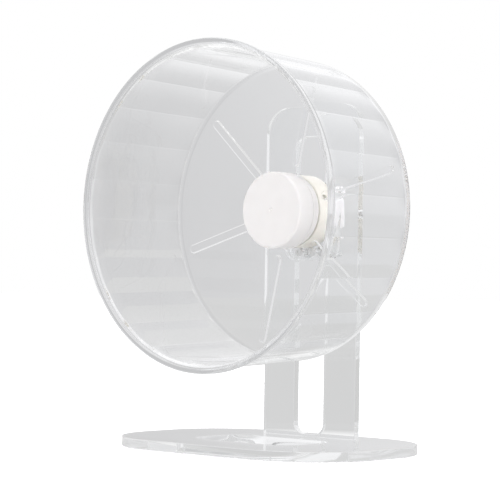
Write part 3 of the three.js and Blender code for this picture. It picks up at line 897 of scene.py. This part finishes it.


# The drum's thick shade tint is painted shade that darkens its lip, lip fillet and rear corner.
CLEAR_DRUM = clear_plastic("clear_moulding", (0.985, 0.988, 0.99, 1), ior=1.5, wave_scale=26.0,
                           wave_height=0.035 * MM, marks_rough=0.035, stretch=(1.0, 0.25, 1.0),
                           thick_shade_tint=(0.83, 0.835, 0.84, 1))
CLEAR_SHEET = clear_plastic("clear_sheet", (0.985, 0.99, 0.992, 1), ior=1.49, wave_scale=16.0,
                            wave_height=0.012 * MM, marks_rough=0.02)
WHITE = moulded_plastic("white_cap_plastic", (0.885, 0.862, 0.855, 1), (0.86, 0.836, 0.828, 1),
                        rough=0.36, grain_height=0.004 * MM)
# Painted shade: the block takes a darker, lavender-grey copy of the white plastic, standing in for the
# shade and cool light that fall on it.
BLOCK_WHITE_SHADED = moulded_plastic("white_block_plastic", (0.7, 0.685, 0.7, 1), (0.675, 0.66, 0.67, 1),
                              rough=0.42, grain_height=0.005 * MM)
CREAM = moulded_plastic("cream_seat_plastic", (0.862, 0.836, 0.776, 1), (0.828, 0.797, 0.727, 1),
                        rough=0.42, grain_height=0.005 * MM)
STEEL = turned_steel("plated_steel", (0.93, 0.93, 0.93, 1), rough=0.32, line_scale=2600.0)
RACE_STEEL = turned_steel("bearing_steel", (0.66, 0.67, 0.69, 1), rough=0.16, line_scale=3200.0)


# The drum

def wall_radius(depth):
    """The outer radius of the drum's wall at a depth along the axle."""
    return WALL_REAR_RADIUS + WALL_SLOPE * (DRUM_REAR_Y - depth)


def drum_section():
    """The drum's wall and lip as (radius, depth, tread share, thick shade share), from the disc along the
    inside, round the lip and back along the outside."""
    section = []

    def add(points, tread=0.0, thick_shade=0.0):
        section.extend((radius, depth, tread, thick_shade) for radius, depth in points)

    def inner_radius(depth):
        return wall_radius(depth) - WALL_THICKNESS

    corner_y = DISC_FRONT_Y - REAR_INNER_ROUND
    add(arc(inner_radius(corner_y) - REAR_INNER_ROUND, corner_y, REAR_INNER_ROUND, 90, 0, 6))
    for tread, forward in TREAD_START:
        add([(inner_radius(corner_y - forward), corner_y - forward)], tread)
    full_treads_y = corner_y - TREAD_START[-1][1]
    for y in np.linspace(full_treads_y, LIP_REAR_Y + INNER_WALL_STOP, WALL_RINGS + 1)[1:]:
        add([(inner_radius(y), y)], tread=1.0)
    for outward, back, tread, thick_shade in LIP_SLOPE:
        add([(inner_radius(LIP_REAR_Y) + outward, LIP_REAR_Y + back)], tread, thick_shade)
    lip_turn = LIP_RADIUS - LIP_WIDTH + LIP_ROUND
    # The lip, its fillet and the rear corner carry the thick shade share, so the clear moulding paints them
    # darker as painted shade.
    add(arc(lip_turn, DRUM_FRONT_Y + LIP_ROUND, LIP_ROUND, 180, 270, 5), thick_shade=1.0)
    add(front_corner(LIP_RADIUS, DRUM_FRONT_Y, LIP_ROUND, 5), thick_shade=1.0)
    add(rear_corner(LIP_RADIUS, LIP_REAR_Y, LIP_REAR_ROUND), thick_shade=1.0)
    fillet = arc(WALL_FRONT_RADIUS + LIP_FILLET, LIP_REAR_Y + LIP_FILLET, LIP_FILLET, 270, 180, 3)
    add(fillet, thick_shade=LIP_FILLET_THICK_SHADE)
    outer_turn = DRUM_REAR_Y - REAR_OUTER_ROUND
    for y in np.linspace(LIP_REAR_Y + OUTER_WALL_STOP, outer_turn - REAR_WALL_STOP, WALL_RINGS):
        add([(wall_radius(y), y)])
    add(rear_corner(wall_radius(outer_turn), DRUM_REAR_Y, REAR_OUTER_ROUND, 6), thick_shade=REAR_CORNER_THICK_SHADE)
    return section


rib_outline = box_outline(RIB_OUTER_RADIUS - RIB_INNER_RADIUS, RIB_WIDTH, RIB_END_SHARE * RIB_WIDTH,
                          ((RIB_INNER_RADIUS + RIB_OUTER_RADIUS) / 2, 0.0), 8)


def turned_loop(loop, angle):
    c, s = cos(angle), sin(angle)
    return np.stack([loop[:, 0] * c - loop[:, 1] * s, loop[:, 0] * s + loop[:, 1] * c], 1)


def rib_shell():
    """One rib's skin, from its foot on the disc to its flat top, with softened sides."""
    shell = Shell()
    top = DISC_FRONT_Y - RIB_HEIGHT
    steps = [(-RIB_FOOT, DISC_FRONT_Y)]
    steps += [(-inset, DISC_FRONT_Y - depth) for inset, depth in quarter(RIB_FOOT_ROUND, 3)]
    steps += [(RIB_DRAFT + inset, top + depth) for inset, depth in reversed(quarter(RIB_SOFT, 4))]
    steps += [(RIB_TOP_INSET, top)]
    rings = [shell.ring(rib_outline(inset), depth) for inset, depth in steps]
    shell.bands(rings)
    shell.cap(rings[-1])
    return shell.piece("ribs", sharp=0, merge=0)


def wheel_drum():
    """The clear drum as one skin: wall with treads, lip, disc and six ribs."""
    shares = TREAD_HALF + [0.5] + [1 - s for s in TREAD_HALF[:0:-1]]
    angles = [TREAD_PHASE + TURN * (k + s) / TREAD_COUNT for k in range(TREAD_COUNT) for s in shares]
    unit = polar(1.0, angles)
    section = drum_section()
    shell = Shell()
    rings = [shell.ring(unit * radius, depth, tread, thick_shade) for radius, depth, tread, thick_shade in section]
    shell.bands(rings)
    front_edge = shell.ring(unit * (section[0][0] - DISC_MARGIN), DISC_FRONT_Y)
    rear_edge = shell.ring(unit * (section[-1][0] - DISC_MARGIN), DRUM_REAR_Y)
    shell.band(front_edge, rings[0])
    shell.band(rings[-1], rear_edge)
    hub_hole = circle(HUB_HOLE_RADIUS, HUB_HOLE_SIDES)
    hub_front = shell.ring(hub_hole, DISC_FRONT_Y)
    hub_rear = shell.ring(hub_hole, DRUM_REAR_Y)
    shell.band(hub_front, hub_rear)
    turns = [RIB_PHASE + TURN * k / RIB_COUNT for k in range(RIB_COUNT)]
    feet = [shell.ring(turned_loop(rib_outline(-RIB_FOOT), turn), DISC_FRONT_Y) for turn in turns]
    shell.flat(front_edge, [hub_front, *feet])
    shell.flat(rear_edge, [hub_rear])
    shell.points = [(u, v + AXIS_Z, d) for u, v, d in shell.points]
    drum = run_tree(shell.piece("drum", sharp=0), tread_tree(), Count=TREAD_COUNT, Height=TREAD_HEIGHT,
                    Phase=TREAD_PHASE, Softness=TREAD_SOFTNESS, Crest=TREAD_CREST,
                    Crest_Width=TREAD_CREST_WIDTH, Axis_Height=AXIS_Z, Material=CLEAR_DRUM)
    ribs = run_tree(rib_shell(), RING_COPIES, Count=RIB_COUNT, Phase=RIB_PHASE, Centre=AXIS,
                    Material=CLEAR_DRUM)
    close_skin(drum.data, [drum.data, ribs.data], JOIN_DISTANCE)
    bpy.data.objects.remove(ribs)
    soften(drum.data, sharp=50)
    return drum


# The hub and its bearings

def hub_cap():
    """White cap: a round cup with a softened rim and the moulding's small gate mark at its middle."""
    front, rear = CAP_FRONT_Y, CAP_REAR_Y
    inner_face = front + CAP_WALL
    skirt_rear = rear - CAP_SKIRT_GAP
    section = [(radius, front + depth) for radius, depth in GATE_MARK]
    section += [(HUB_RADIUS * share, front) for share in CAP_FACE_SHARES]
    section += [(HUB_RADIUS - CAP_ROUND - CAP_ROUND_MARGIN, front)]
    section += front_corner(HUB_RADIUS, front, CAP_ROUND, 10)
    section += [(HUB_RADIUS, front + CAP_SIDE_START), (HUB_RADIUS, rear - CAP_SIDE_STOP)]
    section += rear_corner(HUB_RADIUS, rear, CAP_REAR_ROUND)
    section += [(HUB_RADIUS - CAP_WALL, rear), (HUB_RADIUS - CAP_WALL, inner_face),
                (CAP_SKIRT_OUTER, inner_face), (CAP_SKIRT_OUTER, skirt_rear),
                (CAP_SKIRT_INNER, skirt_rear), (CAP_SKIRT_INNER, inner_face), (0, inner_face)]
    return turned("hub_cap_white", section)


def hub_housing():
    """White housing: a flange on the disc's front, and a sleeve that holds both bearings."""
    flange_rear = DISC_FRONT_Y - GLUE_GAP
    section = [(HOUSING_BORE, HOUSING_FRONT_Y), (HOUSING_RADIUS, HOUSING_FRONT_Y),
               (HOUSING_RADIUS, FLANGE_FRONT_Y)]
    section += front_corner(HUB_RADIUS, FLANGE_FRONT_Y, FLANGE_FRONT_ROUND)
    section += rear_corner(HUB_RADIUS, flange_rear, FLANGE_REAR_ROUND)
    section += [(SPIGOT_RADIUS, flange_rear), (SPIGOT_RADIUS, HOUSING_REAR_Y),
                (HOUSING_LIP, HOUSING_REAR_Y), (HOUSING_LIP, BEARING_REAR_Y),
                (HOUSING_BORE, BEARING_REAR_Y)]
    return turned("hub_housing_white", section)


def hub_back_ring():
    """White ring behind the disc, which the hub's screws pull against the housing's flange."""
    front = DRUM_REAR_Y + GLUE_GAP
    section = [(HUB_HOLE_RADIUS, front)]
    section += front_corner(BACK_RING_RADIUS, front, BACK_RING_FRONT_ROUND)
    section += rear_corner(BACK_RING_RADIUS, HOUSING_REAR_Y, BACK_RING_REAR_ROUND, 4)
    section += [(HUB_HOLE_RADIUS, HOUSING_REAR_Y)]
    return turned("hub_back_ring_white", section)


def outer_race(name, middle):
    """The outer race of a bearing, with the round groove that its balls run in."""
    front, rear = middle - RACE_WIDTH / 2, middle + RACE_WIDTH / 2
    groove = arc(BALL_CIRCLE_RADIUS, middle, GROOVE_RADIUS, -GROOVE_HALF_ANGLE, GROOVE_HALF_ANGLE, 8)
    shoulder = groove[0][0]
    section = [(shoulder, front), *groove, (shoulder, rear)]
    section += rear_corner(RACE_RADIUS, rear, RACE_ROUND)[::-1]
    section += front_corner(RACE_RADIUS, front, RACE_ROUND)[::-1]
    return turned(name, section, RACE_SIDES)


# The seat and its set screw

def radial_bar(name, radius, start, end, sides, socket=0.0):
    """A bar that points away from the axle at the set screw's angle, chamfered if it has a socket."""
    shell = Shell()
    if socket:
        corner = [(radius, end - SET_SCREW_CHAMFER), (radius - SET_SCREW_CHAMFER, end)]
        rings = shell.round_rings([(radius, start), *corner], sides)
        shell.socket(rings[-1], socket, end, end - SET_SCREW_SOCKET_DEPTH)
    else:
        rings = shell.round_rings([(radius, start), (radius, end)], sides)
        shell.cap(rings[-1])
    shell.bands(rings)
    shell.cap(rings[0])
    c, s = cos(SET_SCREW_ANGLE), sin(SET_SCREW_ANGLE)
    points = [(d * c - v * s, SET_SCREW_Y + u, AXIS_Z + d * s + v * c) for u, v, d in shell.points]
    return make_piece(name, points, shell.faces, sharp=35, merge=FINE_MERGE_DISTANCE)


def axle_seat():
    """Cream seat between the drum and the upright, with the side hole of its set screw."""
    section = [(SEAT_BORE, SEAT_FRONT_Y)]
    section += front_corner(SEAT_RADIUS, SEAT_FRONT_Y, SEAT_FRONT_ROUND, 5)
    section += rear_corner(SEAT_RADIUS, SEAT_REAR_Y, SEAT_REAR_ROUND)
    section += [(SEAT_BORE, SEAT_REAR_Y)]
    seat = turned("axle_seat_cream", section)
    cutter = radial_bar("cutter", SET_SCREW_HOLE, SET_SCREW_HOLE_START, SET_SCREW_HOLE_END,
                        SET_SCREW_HOLE_SIDES)
    modifier = seat.modifiers.new("set_screw_hole", "BOOLEAN")
    modifier.operation = "DIFFERENCE"
    modifier.solver = "EXACT"
    modifier.object = cutter
    keep_result(seat, modifier)
    bpy.data.objects.remove(cutter)
    soften(seat.data, sharp=35)
    return seat


# Screws, washers and nuts

def screw(name, head_radius, head_height, radius, head_front, tip, thread_from, pitch):
    """A socket screw along the depth, drawn at the origin: head, hexagon socket, shank and thread."""
    shell = Shell()
    head_rear = head_front + head_height
    outline = [(head_radius - inset, head_front + depth) for inset, depth in quarter(HEAD_FRONT_SOFT, 3)]
    outline += [(head_radius, head_rear - HEAD_REAR_SOFT), (head_radius - HEAD_REAR_SOFT, head_rear),
                (radius, head_rear), (radius, thread_from)]
    rings = shell.round_rings(outline, SCREW_SIDES)
    socket_floor = head_front + SOCKET_DEPTH_SHARE * head_height
    shell.socket(rings[0], SOCKET_SHARE * head_radius, head_front, socket_floor)
    steps = max(2, int(round((tip - thread_from) / pitch * THREAD_RINGS)))
    angle = even_angles(SCREW_SIDES)
    thread_depth = THREAD_DEPTH_SHARE * pitch
    for i in range(1, steps + 1):
        depth = thread_from + (tip - thread_from) * i / steps
        phase = ((depth - thread_from) / pitch - angle / TURN) % 1.0
        groove = (1 - np.abs(2 * phase - 1)) * thread_depth
        fade = min(1.0, (tip - depth) / (TIP_LENGTH_SHARE * pitch) + TIP_START_SHARE)
        r = radius - groove * min(1.0, i / THREAD_RINGS) - (1 - fade) * thread_depth
        rings.append(shell.ring(polar(r, angle), depth))
    shell.bands(rings)
    shell.cap(rings[-1])
    return shell.piece(name, sharp=38, merge=FINE_MERGE_DISTANCE)


def washer(name, hole, radius, front, rear, sides=WASHER_SIDES):
    shell = Shell()
    outer_edge = edge_steps(front, rear, WASHER_OUTER_SOFT, 2)
    inner_edge = edge_steps(front, rear, WASHER_INNER_SOFT, 1)
    outer = shell.round_rings([(radius - inset, depth) for inset, depth in outer_edge], sides)
    inner = shell.round_rings([(hole + inset, depth) for inset, depth in inner_edge], sides)
    shell.bands(outer)
    shell.bands(inner)
    shell.flat(outer[0], [inner[0]])
    shell.flat(outer[-1], [inner[-1]])
    return shell.piece(name, sharp=35, merge=FINE_MERGE_DISTANCE)


def hexagon_nut(name, width, hole, front, rear):
    """A nut with its corners taken off in the usual shallow cone at both faces."""
    shell = Shell()
    angle = even_angles(NUT_SIDES)
    flat = width / 2
    hexagon = flat / np.cos((angle + pi / 6) % (pi / 3) - pi / 6)
    cones = [flat * NUT_FACE_SHARE + back * NUT_CONE_SLOPE for back in NUT_CONE_STEPS]
    steps = [(np.minimum(hexagon, cone), back) for cone, back in zip(cones, NUT_CONE_STEPS)]
    steps.append((hexagon, NUT_CONE_END))
    fronts = [shell.ring(polar(r, angle), front + back) for r, back in steps]
    rears = [shell.ring(polar(r, angle), rear - back) for r, back in steps]
    shell.bands(fronts + rears[::-1])
    bore_edge = edge_steps(front, rear, NUT_BORE_CHAMFER, 1)
    bore = shell.round_rings([(hole + inset, depth) for inset, depth in bore_edge], NUT_BORE_SIDES)
    shell.bands(bore)
    shell.flat(fronts[0], [bore[0]])
    shell.flat(rears[0], [bore[-1]])
    return shell.piece(name, sharp=30, merge=FINE_MERGE_DISTANCE)


# The sheets and the block

base_outline = box_outline(BASE_WIDTH, BASE_DEPTH, BASE_CORNER, steps=40)
window_outline = box_outline(WINDOW_WIDTH, WINDOW_DEPTH, WINDOW_CORNER, (0, WINDOW_Y), 16)
upright_outline = box_outline(UPRIGHT_WIDTH, UPRIGHT_TOP_Z - UPRIGHT_BOTTOM_Z, UPRIGHT_CORNER,
                              (0, (UPRIGHT_TOP_Z + UPRIGHT_BOTTOM_Z) / 2), 20, UPRIGHT_FOOT_CORNER)
slot_outline = box_outline(SLOT_WIDTH, SLOT_TOP_Z - SLOT_BOTTOM_Z, SLOT_CORNER,
                           (0, (SLOT_TOP_Z + SLOT_BOTTOM_Z) / 2), 12)
clamp_outline = box_outline(CLAMP_WIDTH, CLAMP_RISE + CLAMP_DROP, CLAMP_CORNER,
                            (0, AXIS_Z + (CLAMP_RISE - CLAMP_DROP) / 2))
key_outline = box_outline(KEY_WIDTH, KEY_HEIGHT, KEY_CORNER, (0, AXIS_Z))
block_outline = box_outline(BLOCK_WIDTH, BLOCK_HEIGHT, BLOCK_CORNER, (0, AXIS_Z), 8)
axle_hole = round_outline(AXLE_HOLE, AXLE_HOLE_SIDES, (0, AXIS_Z))
screw_holes = [round_outline(SCREW_HOLE, SCREW_HOLE_SIDES, (across, AXIS_Z - CLAMP_SCREW_DROP))
               for across in (-CLAMP_SPACING / 2, CLAMP_SPACING / 2)]


def front_clamp_plate():
    """The front plate with the key that runs in the slot, as one piece."""
    shell = Shell()
    steps = edge_steps(PLATE_FRONT_Y, PLATE_REAR_Y, CLAMP_EDGE, margin=CLAMP_MARGIN)
    plate = [shell.ring(clamp_outline(inset), depth) for inset, depth in steps]
    shell.bands(plate)
    fronts = [shell.ring(hole(0), PLATE_FRONT_Y) for hole in screw_holes]
    rears = [shell.ring(hole(0), PLATE_REAR_Y) for hole in screw_holes]
    for front, rear in zip(fronts, rears):
        shell.band(front, rear)
    steps = [(inset, KEY_REAR_Y - depth) for inset, depth in reversed(quarter(CLAMP_EDGE, 2))]
    key = [shell.ring(key_outline(inset), depth) for inset, depth in [(0, PLATE_REAR_Y), *steps]]
    shell.bands(key)
    bore = [shell.ring(axle_hole(0), depth) for depth in (PLATE_FRONT_Y, KEY_REAR_Y)]
    shell.bands(bore)
    shell.flat(plate[0], [bore[0], *fronts])
    shell.flat(plate[-1], [key[0], *rears])
    shell.flat(key[-1], [bore[1]])
    return shell.piece("front_clamp_plate_clear", sharp=45)


# Putting the pieces in their places

def dress(piece, material, body, slot, *nodes):
    """Gives a new piece its finish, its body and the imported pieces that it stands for."""
    piece.data.materials.clear()
    piece.data.materials.append(material)
    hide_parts(*nodes)
    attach(piece, body)


def steel_pair(piece, node):
    """Copies a fastener to both clamp screws."""
    pair = run_tree(piece, PAIR_COPIES, Spacing=CLAMP_SPACING, Centre=(0, 0, AXIS_Z - CLAMP_SCREW_DROP),
                    Material=STEEL)
    dress(pair, STEEL, "carriage", "steel", f"{node}_1", f"{node}_2")


def steel_on_axis(piece, node):
    """Moves a fastener from the origin to the axle's height."""
    piece.data.transform(Matrix.Translation(AXIS))
    dress(piece, STEEL, "carriage", "steel", node)


def build_stand():
    base = sheet("base_sheet", base_outline, [window_outline], 0.0, BASE_THICKNESS, BASE_EDGE, "lying")
    dress(base, CLEAR_SHEET, "stand", "clear_acrylic", "base_plate")
    upright = sheet("upright_sheet", upright_outline, [slot_outline], UPRIGHT_FRONT_Y, UPRIGHT_REAR_Y,
                    UPRIGHT_EDGE)
    dress(upright, CLEAR_SHEET, "stand", "clear_acrylic", "upright_plate")


def build_carriage():
    dress(front_clamp_plate(), CLEAR_SHEET, "carriage", "clear_acrylic", "front_clamp_plate")
    rear_plate = sheet("rear_clamp_plate_clear", clamp_outline, [axle_hole, *screw_holes],
                       REAR_PLATE_FRONT_Y, REAR_PLATE_REAR_Y, REAR_CLAMP_EDGE)
    dress(rear_plate, CLEAR_SHEET, "carriage", "clear_acrylic", "rear_clamp_plate")
    dress(axle_seat(), CREAM, "carriage", "cream_plastic", "axle_seat")
    set_screw = radial_bar("set_screw_steel", SET_SCREW_RADIUS, SET_SCREW_START,
                           SEAT_RADIUS - SET_SCREW_SINK, SCREW_SIDES, SET_SCREW_SOCKET)
    dress(set_screw, STEEL, "carriage", "steel", "set_screw")
    block = sheet("rear_block_white", block_outline, [axle_hole], BLOCK_FRONT_Y, BLOCK_REAR_Y, BLOCK_EDGE)
    dress(block, BLOCK_WHITE_SHADED, "carriage", "white_plastic", "rear_block")

    steel_pair(screw("clamp_screws", CLAMP_HEAD_RADIUS, CLAMP_HEAD_HEIGHT, CLAMP_SCREW_RADIUS,
                     PLATE_FRONT_Y - CLAMP_HEAD_HEIGHT, CLAMP_NUT_REAR_Y + CLAMP_SCREW_TAIL,
                     REAR_PLATE_FRONT_Y, CLAMP_SCREW_PITCH), "clamp_screw")
    steel_pair(washer("clamp_washers", SCREW_HOLE, CLAMP_WASHER_RADIUS, REAR_PLATE_REAR_Y + GLUE_GAP,
                      CLAMP_WASHER_REAR_Y), "clamp_washer")
    steel_pair(hexagon_nut("clamp_nuts", CLAMP_NUT_WIDTH, CLAMP_NUT_BORE, CLAMP_WASHER_REAR_Y,
                           CLAMP_NUT_REAR_Y), "clamp_nut")

    steel_on_axis(screw("axle_bar", AXLE_RADIUS, AXLE_FRONT_END, AXLE_RADIUS, AXLE_FRONT_Y, AXLE_REAR_Y,
                        AXLE_THREAD_Y, AXLE_PITCH), "axle")
    steel_on_axis(washer("axle_washer_steel", AXLE_HOLE, AXLE_WASHER_RADIUS, BLOCK_REAR_Y,
                         AXLE_WASHER_REAR_Y, AXLE_WASHER_SIDES), "axle_washer")
    steel_on_axis(hexagon_nut("axle_nut_steel", AXLE_NUT_WIDTH, AXLE_NUT_BORE, AXLE_WASHER_REAR_Y,
                              AXLE_NUT_REAR_Y), "axle_nut")


def build_wheel():
    dress(wheel_drum(), CLEAR_DRUM, "wheel", "clear_acrylic", "wheel_drum")
    dress(hub_cap(), WHITE, "wheel", "white_plastic", "hub_cap")
    dress(hub_housing(), WHITE, "wheel", "white_plastic", "hub_housing")
    dress(hub_back_ring(), WHITE, "wheel", "white_plastic", "hub_back_ring")
    for end, middle in (("front", FRONT_BEARING_Y), ("rear", REAR_BEARING_Y)):
        race = outer_race(f"{end}_outer_race_steel", middle)
        dress(race, RACE_STEEL, "wheel", "steel", f"{end}_outer_race")


def finish_hidden_pieces():
    """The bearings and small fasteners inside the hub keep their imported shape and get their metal."""
    for name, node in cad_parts.items():
        metal = RACE_STEEL if ("race" in name and "spacer" not in name) or "ball" in name else STEEL
        node.data.materials.clear()
        node.data.materials.append(metal)


# Camera, light and floor

def place_camera():
    yaw, pitch, roll = CAMERA_YAW, CAMERA_PITCH, CAMERA_ROLL
    back = Vector((sin(yaw) * cos(pitch), -cos(yaw) * cos(pitch), sin(pitch)))
    level = Vector((cos(yaw), sin(yaw), 0))
    upright = back.cross(level)
    right = cos(roll) * level + sin(roll) * upright
    up = cos(roll) * upright - sin(roll) * level
    data = bpy.data.cameras.new("camera")
    data.lens = CAMERA_LENS
    data.sensor_width = CAMERA_SENSOR
    data.sensor_fit = "HORIZONTAL"
    data.clip_start = CAMERA_NEAR
    data.clip_end = CAMERA_FAR
    camera = bpy.data.objects.new("camera", data)
    bpy.context.scene.collection.objects.link(camera)
    camera.matrix_world = Matrix.Translation(CAMERA_PLACE) @ Matrix((right, up, back)).transposed().to_4x4()
    bpy.context.scene.camera = camera


def light_lobe(n, direction, aim, near, far, strength):
    """A soft patch of light in the surroundings, brightest where its aim points."""
    along = n.vector("DOT_PRODUCT", direction, Vector(aim).normalized())["Value"]
    ramp = n.out("ShaderNodeMapRange", {"Value": along, "From Min": cos(radians(far)),
                                        "From Max": cos(radians(near))},
                 interpolation_type="SMOOTHSTEP")
    return n.times(ramp, strength)


def surroundings(n, direction, base, lobes):
    total = base
    for lobe in lobes:
        total = n.plus(total, light_lobe(n, direction, *lobe))
    return total


def pick(n, path, first, second):
    """The second value for light that shows a solid piece by a short way, else the first."""
    solid = n.math("GREATER_THAN", path["Diffuse Depth"], 0.5)
    short = n.math("LESS_THAN", path["Ray Depth"], LONGEST_PATH - 1)
    return n.out("ShaderNodeMix", {0: n.times(solid, short), 2: first, 3: second})


def for_the_eye(n, path, seen, other, output):
    """Shows one shader to the camera itself, and the other in and through the pieces."""
    mix = n.out("ShaderNodeMixShader", {0: path["Is Camera Ray"], 1: other, 2: seen})
    n.add(output, {"Surface": mix})


def floor_material():
    """Pale floor: white to the eye with a soft shadow, and where it shows through plastic a grey glow with
    painted lighter and darker patches.
    """
    material = bpy.data.materials.new("pale_floor")
    material.use_nodes = True
    material.node_tree.nodes.clear()
    n = Nodes(material.node_tree)
    path = n.add("ShaderNodeLightPath").outputs
    shade = n.span(n.noise(n.place(), 40.0, 3.0), 0.3, 0.7, *FLOOR_SHADES)
    diffuse = n.out("ShaderNodeBsdfDiffuse", {"Color": shade})
    lift = n.out("ShaderNodeEmission", {"Color": (1, 1, 1, 1), "Strength": FLOOR_LIFT})
    seen = n.out("ShaderNodeAddShader", {0: diffuse, 1: lift})
    point = n.add("ShaderNodeTexCoord").outputs["Object"]
    way = n.vector("NORMALIZE", point)["Vector"]
    distance = n.vector("LENGTH", point)["Value"]
    grey = surroundings(n, way, FLOOR_AROUND, FLOOR_LOBES)
    # Painted light in the floor's glow: a lighter arc behind the base, a lighter stretch to the left, and a
    # sheen where rays meet the floor steeply.
    behind = n.times(n.span(distance, *FLOOR_REAR_START), n.span(distance, *FLOOR_REAR_STOP, 1.0, 0.0))
    grey = n.plus(grey, n.times(behind, light_lobe(n, way, *FLOOR_REAR_LOBE)))
    beside = n.span(distance, *FLOOR_LEFT_START)
    grey = n.plus(grey, n.times(beside, light_lobe(n, way, *FLOOR_LEFT_LOBE)))
    slant = n.add("ShaderNodeLayerWeight", {"Blend": 0.5}).outputs["Facing"]
    steep = n.times(n.span(slant, *FLOOR_STEEP_SLANT), n.span(distance, *FLOOR_STEEP_START))
    lighter = n.plus(light_lobe(n, way, *FLOOR_STEEP_LOBE), FLOOR_STEEP)
    grey = n.plus(grey, n.times(steep, lighter))
    other = n.out("ShaderNodeEmission", {"Color": pick(n, path, grey, FLOOR_LIT), "Strength": 1.0})
    for_the_eye(n, path, seen, other, "ShaderNodeOutputMaterial")
    return material


def lay_floor():
    shell = Shell("lying")
    rings = shell.round_rings([(radius, FLOOR_Z) for radius in FLOOR_RINGS], FLOOR_SIDES)
    shell.bands(rings)
    shell.cap(rings[0])
    floor = shell.piece("floor", sharp=0)
    floor.data.materials.append(floor_material())


def studio():
    """Soft light all round: the clear pieces show a grey backdrop, the solid ones get brighter light."""
    scene = bpy.context.scene
    world = bpy.data.worlds.new("studio")
    scene.world = world
    world.use_nodes = True
    world.cycles.sampling_method = "NONE"
    world.node_tree.nodes.clear()
    n = Nodes(world.node_tree)
    direction = n.add("ShaderNodeTexCoord").outputs["Generated"]
    path = n.add("ShaderNodeLightPath").outputs
    total = pick(n, path, surroundings(n, direction, AROUND, LOBES),
                 surroundings(n, direction, LIT_AROUND, LIT_LOBES))
    colour = n.out("ShaderNodeCombineColor", {0: total, 1: total, 2: n.times(total, BLUE_SHARE)})
    around = n.out("ShaderNodeBackground", {"Color": colour, "Strength": 1.0})
    white = n.out("ShaderNodeBackground", {"Color": (1, 1, 1, 1), "Strength": 1.0})
    for_the_eye(n, path, white, around, "ShaderNodeOutputWorld")
    scene.view_settings.view_transform = "Standard"
    scene.cycles.max_bounces = MOST_BOUNCES
    scene.cycles.transmission_bounces = MOST_BOUNCES
    scene.cycles.glossy_bounces = MOST_GLOSSY_BOUNCES
    scene.cycles.transparent_max_bounces = MOST_TRANSPARENT_BOUNCES


finish_hidden_pieces()
build_stand()
build_carriage()
build_wheel()
place_camera()
lay_floor()
studio()
